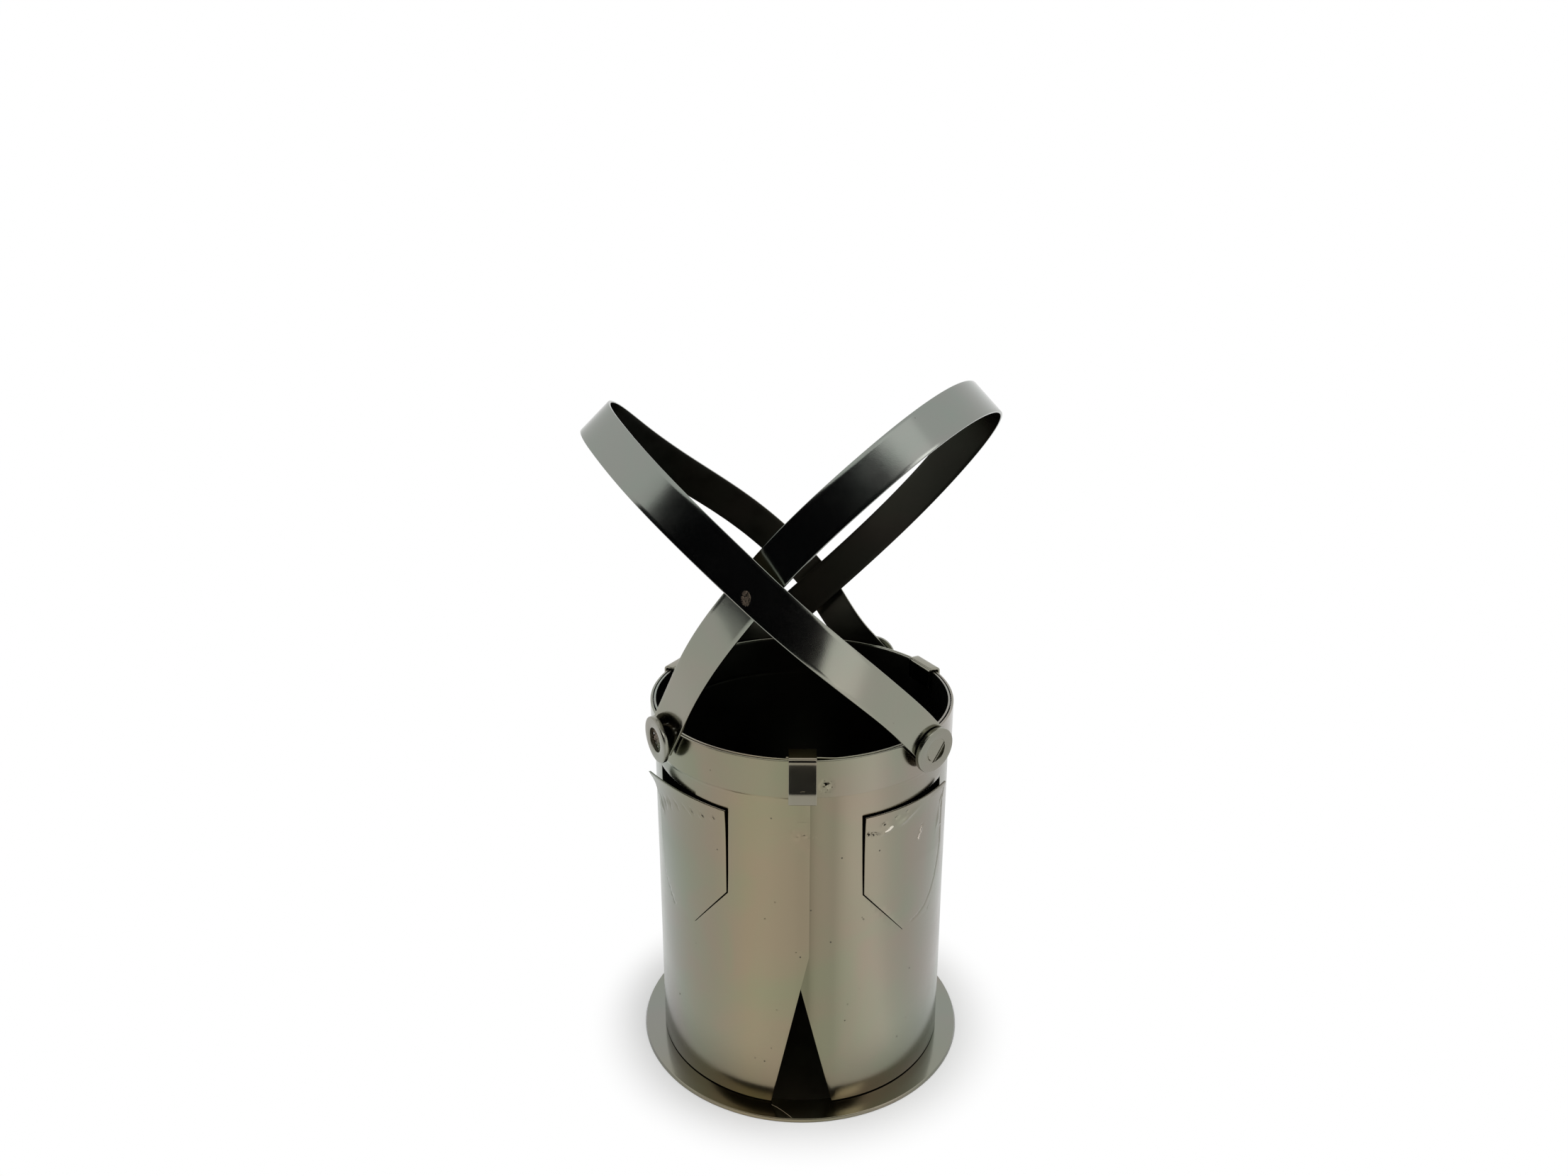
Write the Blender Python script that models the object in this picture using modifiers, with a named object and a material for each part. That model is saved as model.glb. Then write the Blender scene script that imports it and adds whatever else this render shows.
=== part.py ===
"""Sheet-steel holder shaped like a pair of leather shorts, for one upright half-litre container.

The trousers are one rolled sheet on a round base.  Its ends lap at the front, an inverted V parts
the legs, and two pockets are lanced out of it.  A belt strip rings the rim, three belt loops hook
over it, and two braces cross in front and behind and stand out as hoops on both sides.  Each brace
end is held under a washer with a plug weld.

The frame: the origin is the centre of the base's underside, +Z is up and the front faces -Y.
A turn is an angle about +Z from the front, positive towards +X.
"""
import math

import bmesh
import bpy
import numpy as np
from mathutils import Vector

# Daylight between pieces that touch, the overrun of every cutter, and how near points are merged
SEAT_GAP = 0.0003
CUT_OVERRUN = 0.002
MERGE_DISTANCE = 0.00001

# Base: a plain disc
BASE_RADIUS = 0.045
BASE_THICKNESS = 0.001
BASE_EDGE_ROUND = 0.0003

# Trousers: one rolled sheet, its upper end lapping over its tucked end at the front
TUBE_RADIUS = 0.03925
SHEET_THICKNESS = 0.0006
RIM_HEIGHT = 0.102
SEAM_OFFSET = 0.0022
SEAM_LAP = 0.006
LAP_CLEARANCE = 0.001
LAP_RAMP = 0.006
CROTCH_HEIGHT = 0.0365
RIGHT_LEG_INSET = 0.0085
LEFT_LEG_INSET = 0.0076

# Pockets: cut all round but at the foot, and pushed out along the mouth
POCKET_KERF = 0.0005
POCKET_MOUTH_FLARE = 0.0007
POCKET_SIDE_FLARE = 0.0008
RIGHT_POCKET_CORNER_FLARE = 0.002
LEFT_POCKET_CORNER_FLARE = 0.0032
POCKET_FLARE_POWER = 8

# Course of each pocket's cut: turn in degrees and height as a share of the rim's, from the outer
# end of the foot up the outer side, along the mouth and down the inner side to the point
RIGHT_POCKET_SHARES = (
    (58.5, 0.479),
    (68.0, 0.560),
    (65.5, 0.841),
    (22.5, 0.837),
    (23.3, 0.616),
    (42.0, 0.473),
)
LEFT_POCKET_SHARES = (
    (-58.0, 0.489),
    (-67.0, 0.565),
    (-67.0, 0.862),
    (-27.3, 0.846),
    (-27.9, 0.611),
    (-44.2, 0.485),
)

# Belt: a strip round the rim, its ends butting under the front loop
BELT_THICKNESS = 0.0006
BELT_WIDTH = 0.0098
BELT_END_GAP = 0.0008

# Belt loops: strips hooked over the rim
LOOP_THICKNESS = 0.0006
LOOP_BEND_RADIUS = 0.0007
LOOP_INNER_LEG = 0.005
LOOP_TOE_LENGTH = 0.0023
FRONT_LOOP_WIDTH = 0.0068
FRONT_LOOP_TURN = math.radians(0.4)
FRONT_LOOP_OUTER_LEG = 0.0101
REAR_LOOP_WIDTH = 0.01
REAR_LOOP_TURN = math.radians(119.0)
REAR_LOOP_OUTER_LEG = 0.0111

# Each loop's outer leg leans away from the belt down to its toe, and the front one's inner leg
# stands off the sheet
FRONT_LOOP_LEAN = 0.002
FRONT_LOOP_STANDOFF = 0.0022
REAR_LOOP_LEAN = 0.0004
LOOP_LEAN_POWER = 1.6

# Braces: strips bent the easy way into leaning hoops, flat under their washers
BRACE_WIDTH = 0.01
BRACE_THICKNESS = 0.0008
BRACE_TAIL = 0.003
BRACE_FLAT_CLEARANCE = 0.0004
BRACE_TWIST_LENGTH = 0.02
HOOP_RISE = 0.084

# Stations of the braces between their ends: turn in degrees, reach as a share of the belt's
# radius, rise above the rim as a share of the hoops' rise, and strips passed over there
RIGHT_BRACE_STATION_SHARES = (
    (-13.5, 1.096, 0.524, 1),
    (-73.0, 1.230, 0.869, 0),
    (-94.0, 1.267, 0.875, 0),
    (-114.5, 1.168, 0.744, 0),
    (180.0, 1.246, 0.226, 1),
)
LEFT_BRACE_STATION_SHARES = (
    (-25.0, 1.024, 0.405, 0),
    (24.0, 0.899, 0.804, 0),
    (82.0, 1.068, 0.958, 0),
    (127.0, 1.292, 0.690, 0),
    (180.0, 1.128, 0.113, 0),
)

# Swing and lean of each brace's width at its front end, its side and its rear end, in degrees
RIGHT_BRACE_SWING_LEAN = ((57.0, 53.0), (10.5, 43.5), (6.0, 45.0))
LEFT_BRACE_SWING_LEAN = ((48.5, 60.0), (34.0, 41.5), (13.0, 44.5))

# Brace ends at their washers: turn, stand-off from the belt, rise above its middle, and the turn
# and rise of the way the end faces
RIGHT_FRONT_END = (math.radians(50.0), 0.0019, 0.0029, math.radians(41.5), math.radians(-6.0))
LEFT_FRONT_END = (math.radians(-56.7), 0.0012, 0.0035, math.radians(-50.0), 0.0)
RIGHT_REAR_END = (math.radians(150.0), 0.0022, 0.0, math.radians(165.0), 0.0)
LEFT_REAR_END = (math.radians(-150.0), 0.0022, 0.0, math.radians(-165.0), 0.0)

# Washers over the brace ends, and the plug weld in each
WASHER_RADIUS = 0.006
WASHER_BORE_RADIUS = 0.0032
WASHER_THICKNESS = 0.0012
WASHER_CHAMFER = 0.0002
PLUG_RADIUS = 0.0028
PLUG_RECESS = 0.0001
LOW_PLUG_RECESS = 0.0009
PLUG_FLAT_REACH = 0.0004
PLUG_SLOPE = math.radians(58.0)

# Shift of the front washers off the middle of their strips, and the way the tilted one faces
RIGHT_WASHER_SHIFT = -0.0007
LEFT_WASHER_SHIFT = -0.0011
LEFT_WASHER_FACING = (math.radians(-60.0), math.radians(-3.0))

# Tack welds in the corner between the sheet and the base
TACK_LENGTH = 0.006
TACK_SIZE = 0.0014
TACK_TURNS = (math.radians(40.0), math.radians(140.0), math.radians(-140.0), math.radians(-40.0))

# Counts of facets
SHEET_COLUMNS = 120
SHEET_ROW_SHARES = (
    (0.47, 0.49, 0.53, 0.58, 0.63, 0.68, 0.73)
    + (0.77, 0.79, 0.805, 0.82, 0.832, 0.845, 0.86)
)
ROUND_SEGMENTS = 96
WASHER_SEGMENTS = 36
STATION_STEPS = 14
END_HANDLE_SHARE = 0.36
BEND_STEPS = 4
LEG_STEPS = 6

# Finishes: colour and roughness of the gunmetal plating on the sheet, on the strips and on welds
SHEET_LOOK = ((0.25, 0.235, 0.2), 0.3)
STRIP_LOOK = ((0.25, 0.25, 0.235), 0.28)
WELD_LOOK = ((0.12, 0.115, 0.1), 0.5)

HEM_HEIGHT = BASE_THICKNESS + SEAT_GAP
BELT_INNER_RADIUS = TUBE_RADIUS + SEAT_GAP
BELT_RADIUS = BELT_INNER_RADIUS + BELT_THICKNESS
BELT_MIDDLE = RIM_HEIGHT - BELT_WIDTH / 2


def start_scene():
    for old in list(bpy.data.objects):
        bpy.data.objects.remove(old, do_unlink=True)
    collections = []
    for name in ("bottle_holder", "cutters"):
        collection = bpy.data.collections.new(name)
        bpy.context.scene.collection.children.link(collection)
        collections.append(collection)
    return collections


def finish_material(name, look):
    colour, roughness = look
    material = bpy.data.materials.new(name)
    material.use_nodes = True
    shader = material.node_tree.nodes["Principled BSDF"]
    shader.inputs["Base Color"].default_value = (*colour, 1.0)
    shader.inputs["Roughness"].default_value = roughness
    shader.inputs["Metallic"].default_value = 1.0
    return material


def add_piece(name, mesh, look, location=(0, 0, 0), facing=None):
    """Link a mesh as a named piece; facing turns its local Z along a direction."""
    piece = bpy.data.objects.new(name, mesh)
    piece.location = location
    if facing is not None:
        piece.rotation_euler = facing.to_track_quat("Z", "Y").to_euler()
    mesh.materials.append(finish_material(name, look))
    mesh.shade_smooth()
    mesh.set_sharp_from_angle(angle=math.radians(30))
    PARTS.objects.link(piece)
    return piece


def direction(turn, rise=0.0):
    """Unit vector that looks outward at a turn about +Z, raised by an angle."""
    level = math.cos(rise)
    return Vector((math.sin(turn) * level, -math.cos(turn) * level, math.sin(rise)))


def on_round(turn, reach, height):
    return direction(turn) * reach + Vector((0, 0, height))


def bent_strip(name, centres, widths_along, width, thickness, look):
    """A strip of sheet swept along centre points, with its own width direction at each point."""
    bm = bmesh.new()
    rows = []
    for centre, along in zip(centres, widths_along):
        half = along * (width / 2)
        rows.append((bm.verts.new(centre - half), bm.verts.new(centre + half)))
    for (low, high), (next_low, next_high) in zip(rows[:-1], rows[1:]):
        bm.faces.new((low, next_low, next_high, high))
    mesh = bpy.data.meshes.new(name)
    bm.to_mesh(mesh)
    bm.free()
    piece = add_piece(name, mesh, look)
    solidify = piece.modifiers.new("Sheet thickness", "SOLIDIFY")
    solidify.thickness = thickness
    solidify.offset = 0
    solidify.use_even_offset = True
    return piece


def turned(name, profile, segments, look, location=(0, 0, 0), facing=None, closed=False):
    """Revolve a profile of (radius, height) points, given down its outer side."""
    mesh = bpy.data.meshes.new(name)
    edges = [(i, i + 1) for i in range(len(profile) - 1)]
    if closed:
        edges.append((len(profile) - 1, 0))
    mesh.from_pydata([(radius, 0, height) for radius, height in profile], edges, [])
    piece = add_piece(name, mesh, look, location, facing)
    screw = piece.modifiers.new("Revolve", "SCREW")
    screw.steps = segments
    screw.render_steps = segments
    screw.use_merge_vertices = True
    screw.merge_threshold = MERGE_DISTANCE
    return piece


def flat_cutter(name, outline, depth):
    """A prism on a flat outline, for cutting the sheet before it is rolled."""
    curve = bpy.data.curves.new(name, "CURVE")
    curve.dimensions = "2D"
    curve.fill_mode = "BOTH"
    curve.extrude = depth
    spline = curve.splines.new("POLY")
    spline.points.add(len(outline) - 1)
    for point, (across, up) in zip(spline.points, outline):
        point.co = (across, up, 0, 1)
    spline.use_cyclic_u = True
    drawn = bpy.data.objects.new(name, curve)
    CUTTERS.objects.link(drawn)
    mesh = evaluated_mesh(drawn)
    bpy.data.objects.remove(drawn, do_unlink=True)
    bm = bmesh.new()
    bm.from_mesh(mesh)
    bmesh.ops.remove_doubles(bm, verts=bm.verts, dist=MERGE_DISTANCE)
    bmesh.ops.recalc_face_normals(bm, faces=bm.faces)
    bm.to_mesh(mesh)
    bm.free()
    cutter = bpy.data.objects.new(name, mesh)
    cutter.hide_render = True
    cutter.display_type = "WIRE"
    CUTTERS.objects.link(cutter)
    return cutter


def evaluated_mesh(piece):
    bpy.context.view_layer.update()
    depsgraph = bpy.context.evaluated_depsgraph_get()
    return bpy.data.meshes.new_from_object(piece.evaluated_get(depsgraph))


def make_base():
    top = BASE_THICKNESS
    profile = (
        (0, top),
        (BASE_RADIUS - BASE_EDGE_ROUND, top),
        (BASE_RADIUS, top - BASE_EDGE_ROUND),
        (BASE_RADIUS, BASE_EDGE_ROUND),
        (BASE_RADIUS - BASE_EDGE_ROUND, 0),
        (0, 0),
    )
    turned("base_disc", profile, ROUND_SEGMENTS, SHEET_LOOK)


def leg_cut_outline(inset, past_centre, place):
    """Corner cut off one end of the sheet, so that the two ends leave a V between the legs.

    Distances run from the front centre line into the leg; place turns them into blank positions.
    """
    slope = (CROTCH_HEIGHT - HEM_HEIGHT) / inset
    bottom = HEM_HEIGHT - CUT_OVERRUN
    end = past_centre + CUT_OVERRUN
    return (
        (place(inset + CUT_OVERRUN / slope), bottom),
        (place(-end), CROTCH_HEIGHT + slope * end),
        (place(-end), bottom),
    )


def pocket_course(shares, wrap):
    """A pocket's cut on the blank, as (arc length, height) points."""
    return [Vector((TUBE_RADIUS * (math.radians(turn) + wrap), RIM_HEIGHT * share)) for turn, share in shares]


def shifted_inward(course, distance):
    """A course moved towards the middle of what it surrounds, its corners kept sharp."""
    middle = sum(course, Vector((0, 0))) / len(course)
    normals = []
    for start, end in zip(course[:-1], course[1:]):
        along = (end - start).normalized()
        normal = Vector((-along.y, along.x))
        if normal.dot(middle - start) < 0:
            normal.negate()
        normals.append(normal)
    moved = []
    for point, before, after in zip(course, normals[:1] + normals, normals + normals[-1:]):
        moved.append(point + (before + after) * (distance / (1 + before.dot(after))))
    return moved


def surrounds(course, arc, up):
    """Whether a closed course surrounds a point, by counting its edges to the point's right."""
    crossings = 0
    for start, end in zip(course, course[1:] + course[:1]):
        if (start.y > up) != (end.y > up):
            share = (up - start.y) / (end.y - start.y)
            crossings += start.x + (end.x - start.x) * share > arc
    return crossings % 2 == 1


def flap_flare(flap, corner_flare, arc, up):
    """How far a point of a pocket's flap is pushed out of the sheet's round."""
    if not surrounds(flap, arc, up):
        return 0.0
    foot, outer, inner = flap[-1].y, flap[2], flap[3]
    across = (arc - inner.x) / (outer.x - inner.x)
    rise = (up - foot) / (inner.y - foot)
    side = POCKET_SIDE_FLARE * across * min(max(2 * rise, 0), 1)
    mouth = POCKET_MOUTH_FLARE + (corner_flare - POCKET_MOUTH_FLARE) * across * across
    return side + (mouth - side) * max(rise, 0) ** POCKET_FLARE_POWER


def make_trousers():
    """Cut the sheet flat, then roll it: blank X is the arc length from the front centre line."""
    round_length = math.tau * TUBE_RADIUS
    tucked_end = SEAM_OFFSET - SEAM_LAP
    upper_end = round_length + SEAM_OFFSET

    bm = bmesh.new()
    hem = [(tucked_end, HEM_HEIGHT), (upper_end, HEM_HEIGHT)]
    rim = [(upper_end, RIM_HEIGHT), (tucked_end, RIM_HEIGHT)]
    bm.faces.new([bm.verts.new((across, up, 0)) for across, up in hem + rim])
    column = (upper_end - tucked_end) / SHEET_COLUMNS
    cuts = [((tucked_end + i * column, 0, 0), (1, 0, 0)) for i in range(1, SHEET_COLUMNS)]
    cuts += [((0, RIM_HEIGHT * share, 0), (0, 1, 0)) for share in SHEET_ROW_SHARES]
    for place, normal in cuts:
        blank_parts = bm.verts[:] + bm.edges[:] + bm.faces[:]
        bmesh.ops.bisect_plane(bm, geom=blank_parts, plane_co=place, plane_no=normal)
    blank = bpy.data.meshes.new("trouser_tube")
    bm.to_mesh(blank)
    bm.free()
    sheet = add_piece("trouser_tube", blank, SHEET_LOOK)
    solidify = sheet.modifiers.new("Sheet thickness", "SOLIDIFY")
    solidify.thickness = SHEET_THICKNESS
    solidify.offset = -1

    pockets = (
        (pocket_course(RIGHT_POCKET_SHARES, 0), RIGHT_POCKET_CORNER_FLARE),
        (pocket_course(LEFT_POCKET_SHARES, math.tau), LEFT_POCKET_CORNER_FLARE),
    )
    outlines = {
        "right_leg_cut": leg_cut_outline(RIGHT_LEG_INSET, SEAM_LAP - SEAM_OFFSET, lambda inward: inward),
        "left_leg_cut": leg_cut_outline(LEFT_LEG_INSET, SEAM_OFFSET, lambda inward: round_length - inward),
    }
    flaps = []
    for side, (course, corner_flare) in zip(("right", "left"), pockets):
        outlines[side + "_pocket_kerf"] = course + shifted_inward(course, POCKET_KERF)[::-1]
        flaps.append((shifted_inward(course, POCKET_KERF / 2), corner_flare))
    for name, outline in outlines.items():
        cut = sheet.modifiers.new(name, "BOOLEAN")
        cut.operation = "DIFFERENCE"
        cut.object = flat_cutter(name, outline, SHEET_THICKNESS + CUT_OVERRUN)

    rolled = evaluated_mesh(sheet)
    sheet.modifiers.clear()
    sheet.data = rolled
    tuck_depth = SHEET_THICKNESS + SEAT_GAP
    for vertex in rolled.vertices:
        arc, up, depth = vertex.co
        ramp = min(max((arc - SEAM_OFFSET - LAP_CLEARANCE) / LAP_RAMP, 0), 1)
        tuck = tuck_depth * (1 - ramp * ramp * (3 - 2 * ramp))
        flare = sum(flap_flare(flap, corner_flare, arc, up) for flap, corner_flare in flaps)
        vertex.co = on_round(arc / TUBE_RADIUS, TUBE_RADIUS + depth - tuck + flare, up)
    rolled.shade_smooth()
    rolled.set_sharp_from_angle(angle=math.radians(30))


def make_belt():
    middle_radius = BELT_INNER_RADIUS + BELT_THICKNESS / 2
    open_turn = BELT_END_GAP / middle_radius
    turns = np.linspace(open_turn / 2, math.tau - open_turn / 2, ROUND_SEGMENTS + 1)
    centres = [on_round(turn, middle_radius, BELT_MIDDLE) for turn in turns]
    up = Vector((0, 0, 1))
    bent_strip("belt_band", centres, [up] * len(centres), BELT_WIDTH, BELT_THICKNESS, STRIP_LOOK)


def make_belt_loop(name, turn, width, outer_leg, lean, sheets_inside, standoff=0.0):
    """A strip hooked over the belt and the sheets inside it, bent round over the rim."""
    half_width = width / 2
    outer = BELT_RADIUS + SEAT_GAP + LOOP_THICKNESS / 2
    wall = TUBE_RADIUS - sheets_inside * SHEET_THICKNESS - (sheets_inside - 1) * SEAT_GAP
    inner_face = math.sqrt((wall - SEAT_GAP) ** 2 - half_width**2)
    inner = inner_face - standoff - LOOP_THICKNESS / 2
    crown = RIM_HEIGHT + SEAT_GAP + LOOP_THICKNESS / 2
    toe = RIM_HEIGHT - outer_leg
    profile = [(outer + lean, toe)]
    for share in np.linspace(0, 1, LEG_STEPS, endpoint=False):
        up = toe + LOOP_TOE_LENGTH + (crown - LOOP_BEND_RADIUS - toe - LOOP_TOE_LENGTH) * share
        profile.append((outer + lean * (1 - share) ** LOOP_LEAN_POWER, up))
    for corner, first_angle in ((outer - LOOP_BEND_RADIUS, 0.0), (inner + LOOP_BEND_RADIUS, math.pi / 2)):
        for i in range(BEND_STEPS + 1):
            angle = first_angle + math.pi / 2 * i / BEND_STEPS
            reach = corner + LOOP_BEND_RADIUS * math.cos(angle)
            profile.append((reach, crown - LOOP_BEND_RADIUS * (1 - math.sin(angle))))
    profile.append((inner, RIM_HEIGHT - LOOP_INNER_LEG))
    centres = [on_round(turn, reach, up) for reach, up in profile]
    sideways = direction(turn + math.pi / 2)
    bent_strip(name, centres, [sideways] * len(centres), width, LOOP_THICKNESS, STRIP_LOOK)


def smooth_route(stations, first_travel, last_travel):
    """Points on a Bezier curve through the stations, leaving and arriving along the given travel."""
    curve = bpy.data.curves.new("route", "CURVE")
    curve.dimensions = "3D"
    curve.resolution_u = STATION_STEPS
    spline = curve.splines.new("BEZIER")
    spline.bezier_points.add(len(stations) - 1)
    for point, station in zip(spline.bezier_points, stations):
        point.co = station
        point.handle_left_type = "AUTO"
        point.handle_right_type = "AUTO"
    first, last = spline.bezier_points[0], spline.bezier_points[-1]
    for point in (first, last):
        point.handle_left_type = "FREE"
        point.handle_right_type = "FREE"
    first.handle_right = first.co + first_travel * ((stations[1] - stations[0]).length * END_HANDLE_SHARE)
    last.handle_left = last.co - last_travel * ((stations[-1] - stations[-2]).length * END_HANDLE_SHARE)
    first.handle_left = first.co
    last.handle_right = last.co
    drawn = bpy.data.objects.new("route", curve)
    CUTTERS.objects.link(drawn)
    route = [vertex.co.copy() for vertex in evaluated_mesh(drawn).vertices]
    bpy.data.objects.remove(drawn, do_unlink=True)
    return route


def make_brace(name, side, front, rear, shares, swing_lean):
    """A brace between two flat ends, each given as turn, stand-off, rise and facing.

    side is +1 where its width points to +X.  Returns each end's point, facing and width direction.
    """
    middle = [
        on_round(
            math.radians(turn),
            BELT_RADIUS * reach_share + layers * (BRACE_THICKNESS + SEAT_GAP),
            RIM_HEIGHT + HOOP_RISE * rise_share,
        )
        for turn, reach_share, rise_share, layers in shares
    ]
    ends = []
    flat_length = WASHER_RADIUS + BRACE_FLAT_CLEARANCE
    for end, neighbour in ((front, middle[0]), (rear, middle[-1])):
        turn, standoff, rise, facing_turn, facing_rise = end
        point = on_round(turn, BELT_RADIUS + standoff, BELT_MIDDLE + rise)
        facing = direction(facing_turn, facing_rise)
        inward = neighbour - point
        inward = (inward - facing * inward.dot(facing)).normalized()
        ends.append((point, facing, inward))
    stations = [ends[0][0] + ends[0][2] * flat_length] + middle + [ends[1][0] + ends[1][2] * flat_length]
    route = smooth_route(stations, ends[0][2], -ends[1][2])

    last = len(stations) - 1
    swing_fit, lean_fit = np.polyfit((0, last / 2, last), np.radians(swing_lean), 2).T
    widths = []
    for i, centre in enumerate(route):
        travel = (route[min(i + 1, len(route) - 1)] - route[max(i - 1, 0)]).normalized()
        place = i / STATION_STEPS
        swing, lean = np.polyval(swing_fit, place), np.polyval(lean_fit, place)
        level = math.cos(lean)
        along = Vector((side * level * math.cos(swing), level * math.sin(swing), math.sin(lean)))
        for point, facing, inward in ends:
            share = min((centre - point - inward * flat_length).length / BRACE_TWIST_LENGTH, 1)
            flat = facing.cross(inward)
            if flat.dot(along) < 0:
                flat.negate()
            along = flat.lerp(along, share * share * (3 - 2 * share))
        widths.append((along - travel * along.dot(travel)).normalized())
    first, final = ends[0], ends[1]
    centres = [first[0] - first[2] * BRACE_TAIL] + route + [final[0] - final[2] * BRACE_TAIL]
    widths = [widths[0]] + widths + [widths[-1]]
    bent_strip(name, centres, widths, BRACE_WIDTH, BRACE_THICKNESS, STRIP_LOOK)
    return [(first[0], first[1], widths[0]), (final[0], final[1], widths[-1])]


def make_button(name, end, shift=0.0, facing=None, recess=PLUG_RECESS, sloping=False):
    """A washer over a brace end, as near as its tilt allows, with the plug weld in its hole."""
    point, brace_normal, along = end
    facing = facing or brace_normal
    tilt = facing.angle(brace_normal)
    seat = BRACE_THICKNESS / 2 + SEAT_GAP
    lift = (seat + WASHER_RADIUS * math.sin(tilt)) / math.cos(tilt)
    half = WASHER_THICKNESS / 2
    profile = (
        (WASHER_BORE_RADIUS, half),
        (WASHER_RADIUS - WASHER_CHAMFER, half),
        (WASHER_RADIUS, half - WASHER_CHAMFER),
        (WASHER_RADIUS, WASHER_CHAMFER - half),
        (WASHER_RADIUS - WASHER_CHAMFER, -half),
        (WASHER_BORE_RADIUS, -half),
    )
    seat_point = point + along * shift
    centre = seat_point + facing * (lift + half)
    turned("washer_" + name, profile, WASHER_SEGMENTS, STRIP_LOOK, centre, facing, closed=True)

    foot = (seat + PLUG_RADIUS * math.sin(tilt)) / math.cos(tilt)
    head = lift + WASHER_THICKNESS - recess
    bm = bmesh.new()
    bmesh.ops.create_cone(
        bm,
        cap_ends=True,
        segments=WASHER_SEGMENTS,
        radius1=PLUG_RADIUS,
        radius2=PLUG_RADIUS,
        depth=head - foot,
    )
    bmesh.ops.translate(bm, verts=bm.verts, vec=(0, 0, (head + foot) / 2))
    if sloping:
        cut = bmesh.ops.bisect_plane(
            bm,
            geom=bm.verts[:] + bm.edges[:] + bm.faces[:],
            plane_co=(PLUG_FLAT_REACH, 0, head),
            plane_no=(math.sin(PLUG_SLOPE), 0, math.cos(PLUG_SLOPE)),
            clear_outer=True,
        )
        rim = [part for part in cut["geom_cut"] if isinstance(part, bmesh.types.BMEdge)]
        bmesh.ops.contextual_create(bm, geom=rim)
        bmesh.ops.recalc_face_normals(bm, faces=bm.faces)
    mesh = bpy.data.meshes.new("plug_weld_" + name)
    bm.to_mesh(mesh)
    bm.free()
    add_piece("plug_weld_" + name, mesh, WELD_LOOK, seat_point, facing)


def make_tack_weld(name, turn):
    """A short bead in the inside corner of the sheet and the base."""
    sheet_face = TUBE_RADIUS - SHEET_THICKNESS - SEAT_GAP
    seat = BASE_THICKNESS + SEAT_GAP
    spread = TACK_LENGTH / sheet_face
    bm = bmesh.new()
    section = [(sheet_face, seat), (sheet_face, seat + TACK_SIZE), (sheet_face - TACK_SIZE, seat)]
    face = bm.faces.new([bm.verts.new(on_round(turn - spread / 2, reach, up)) for reach, up in section])
    bmesh.ops.spin(
        bm,
        geom=[face] + face.verts[:] + face.edges[:],
        cent=(0, 0, 0),
        axis=(0, 0, 1),
        angle=spread,
        steps=BEND_STEPS,
    )
    bmesh.ops.recalc_face_normals(bm, faces=bm.faces)
    mesh = bpy.data.meshes.new(name)
    bm.to_mesh(mesh)
    bm.free()
    add_piece(name, mesh, WELD_LOOK)


PARTS, CUTTERS = start_scene()
make_base()
make_trousers()
make_belt()
front_loop = (FRONT_LOOP_WIDTH, FRONT_LOOP_OUTER_LEG, FRONT_LOOP_LEAN, 2, FRONT_LOOP_STANDOFF)
rear_loop = (REAR_LOOP_WIDTH, REAR_LOOP_OUTER_LEG, REAR_LOOP_LEAN, 1)
make_belt_loop("belt_loop_front", FRONT_LOOP_TURN, *front_loop)
make_belt_loop("belt_loop_rear_right", REAR_LOOP_TURN, *rear_loop)
make_belt_loop("belt_loop_rear_left", -REAR_LOOP_TURN, *rear_loop)
right_ends = make_brace(
    "brace_right", 1, RIGHT_FRONT_END, RIGHT_REAR_END, RIGHT_BRACE_STATION_SHARES, RIGHT_BRACE_SWING_LEAN
)
left_ends = make_brace(
    "brace_left", -1, LEFT_FRONT_END, LEFT_REAR_END, LEFT_BRACE_STATION_SHARES, LEFT_BRACE_SWING_LEAN
)
make_button("front_right", right_ends[0], RIGHT_WASHER_SHIFT, sloping=True)
make_button("rear_right", right_ends[1])
make_button("front_left", left_ends[0], LEFT_WASHER_SHIFT, direction(*LEFT_WASHER_FACING), LOW_PLUG_RECESS)
make_button("rear_left", left_ends[1])
for number, tack_turn in enumerate(TACK_TURNS, start=1):
    make_tack_weld(f"tack_weld_{number}", tack_turn)
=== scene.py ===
import math

import bmesh
import bpy
import numpy as np
from mathutils import Euler, Matrix, Vector, noise


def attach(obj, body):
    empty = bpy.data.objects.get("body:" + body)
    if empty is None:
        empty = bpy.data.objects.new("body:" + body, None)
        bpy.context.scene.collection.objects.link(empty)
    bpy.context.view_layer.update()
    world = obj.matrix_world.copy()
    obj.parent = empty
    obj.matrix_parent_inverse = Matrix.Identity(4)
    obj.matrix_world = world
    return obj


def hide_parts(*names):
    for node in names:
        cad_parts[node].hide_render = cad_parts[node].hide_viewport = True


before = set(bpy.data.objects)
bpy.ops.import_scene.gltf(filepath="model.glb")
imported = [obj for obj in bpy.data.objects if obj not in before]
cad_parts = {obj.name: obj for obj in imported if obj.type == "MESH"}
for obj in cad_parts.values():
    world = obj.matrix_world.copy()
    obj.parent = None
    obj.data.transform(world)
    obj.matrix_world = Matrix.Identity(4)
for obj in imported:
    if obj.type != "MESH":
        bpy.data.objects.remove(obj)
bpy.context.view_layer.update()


# ---------------------------------------------------------------------------
# Base disc.  A round plate blanked from 1 mm sheet steel, its upper edge rolled
# over by the punch, and plated gunmetal grey together with all the rest.  The
# trousers stand on it and are tacked to it from inside.
# ---------------------------------------------------------------------------
DISC_RADIUS = 0.045
DISC_THICKNESS = 0.001
DISC_ROLL = 0.00018
DISC_BURR = 0.00012
DISC_SLANT = 0.00028
DROOP_START = 0.0395
DROOP_DEPTH = 0.00018
DISC_RIPPLE = 0.00006
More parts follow.
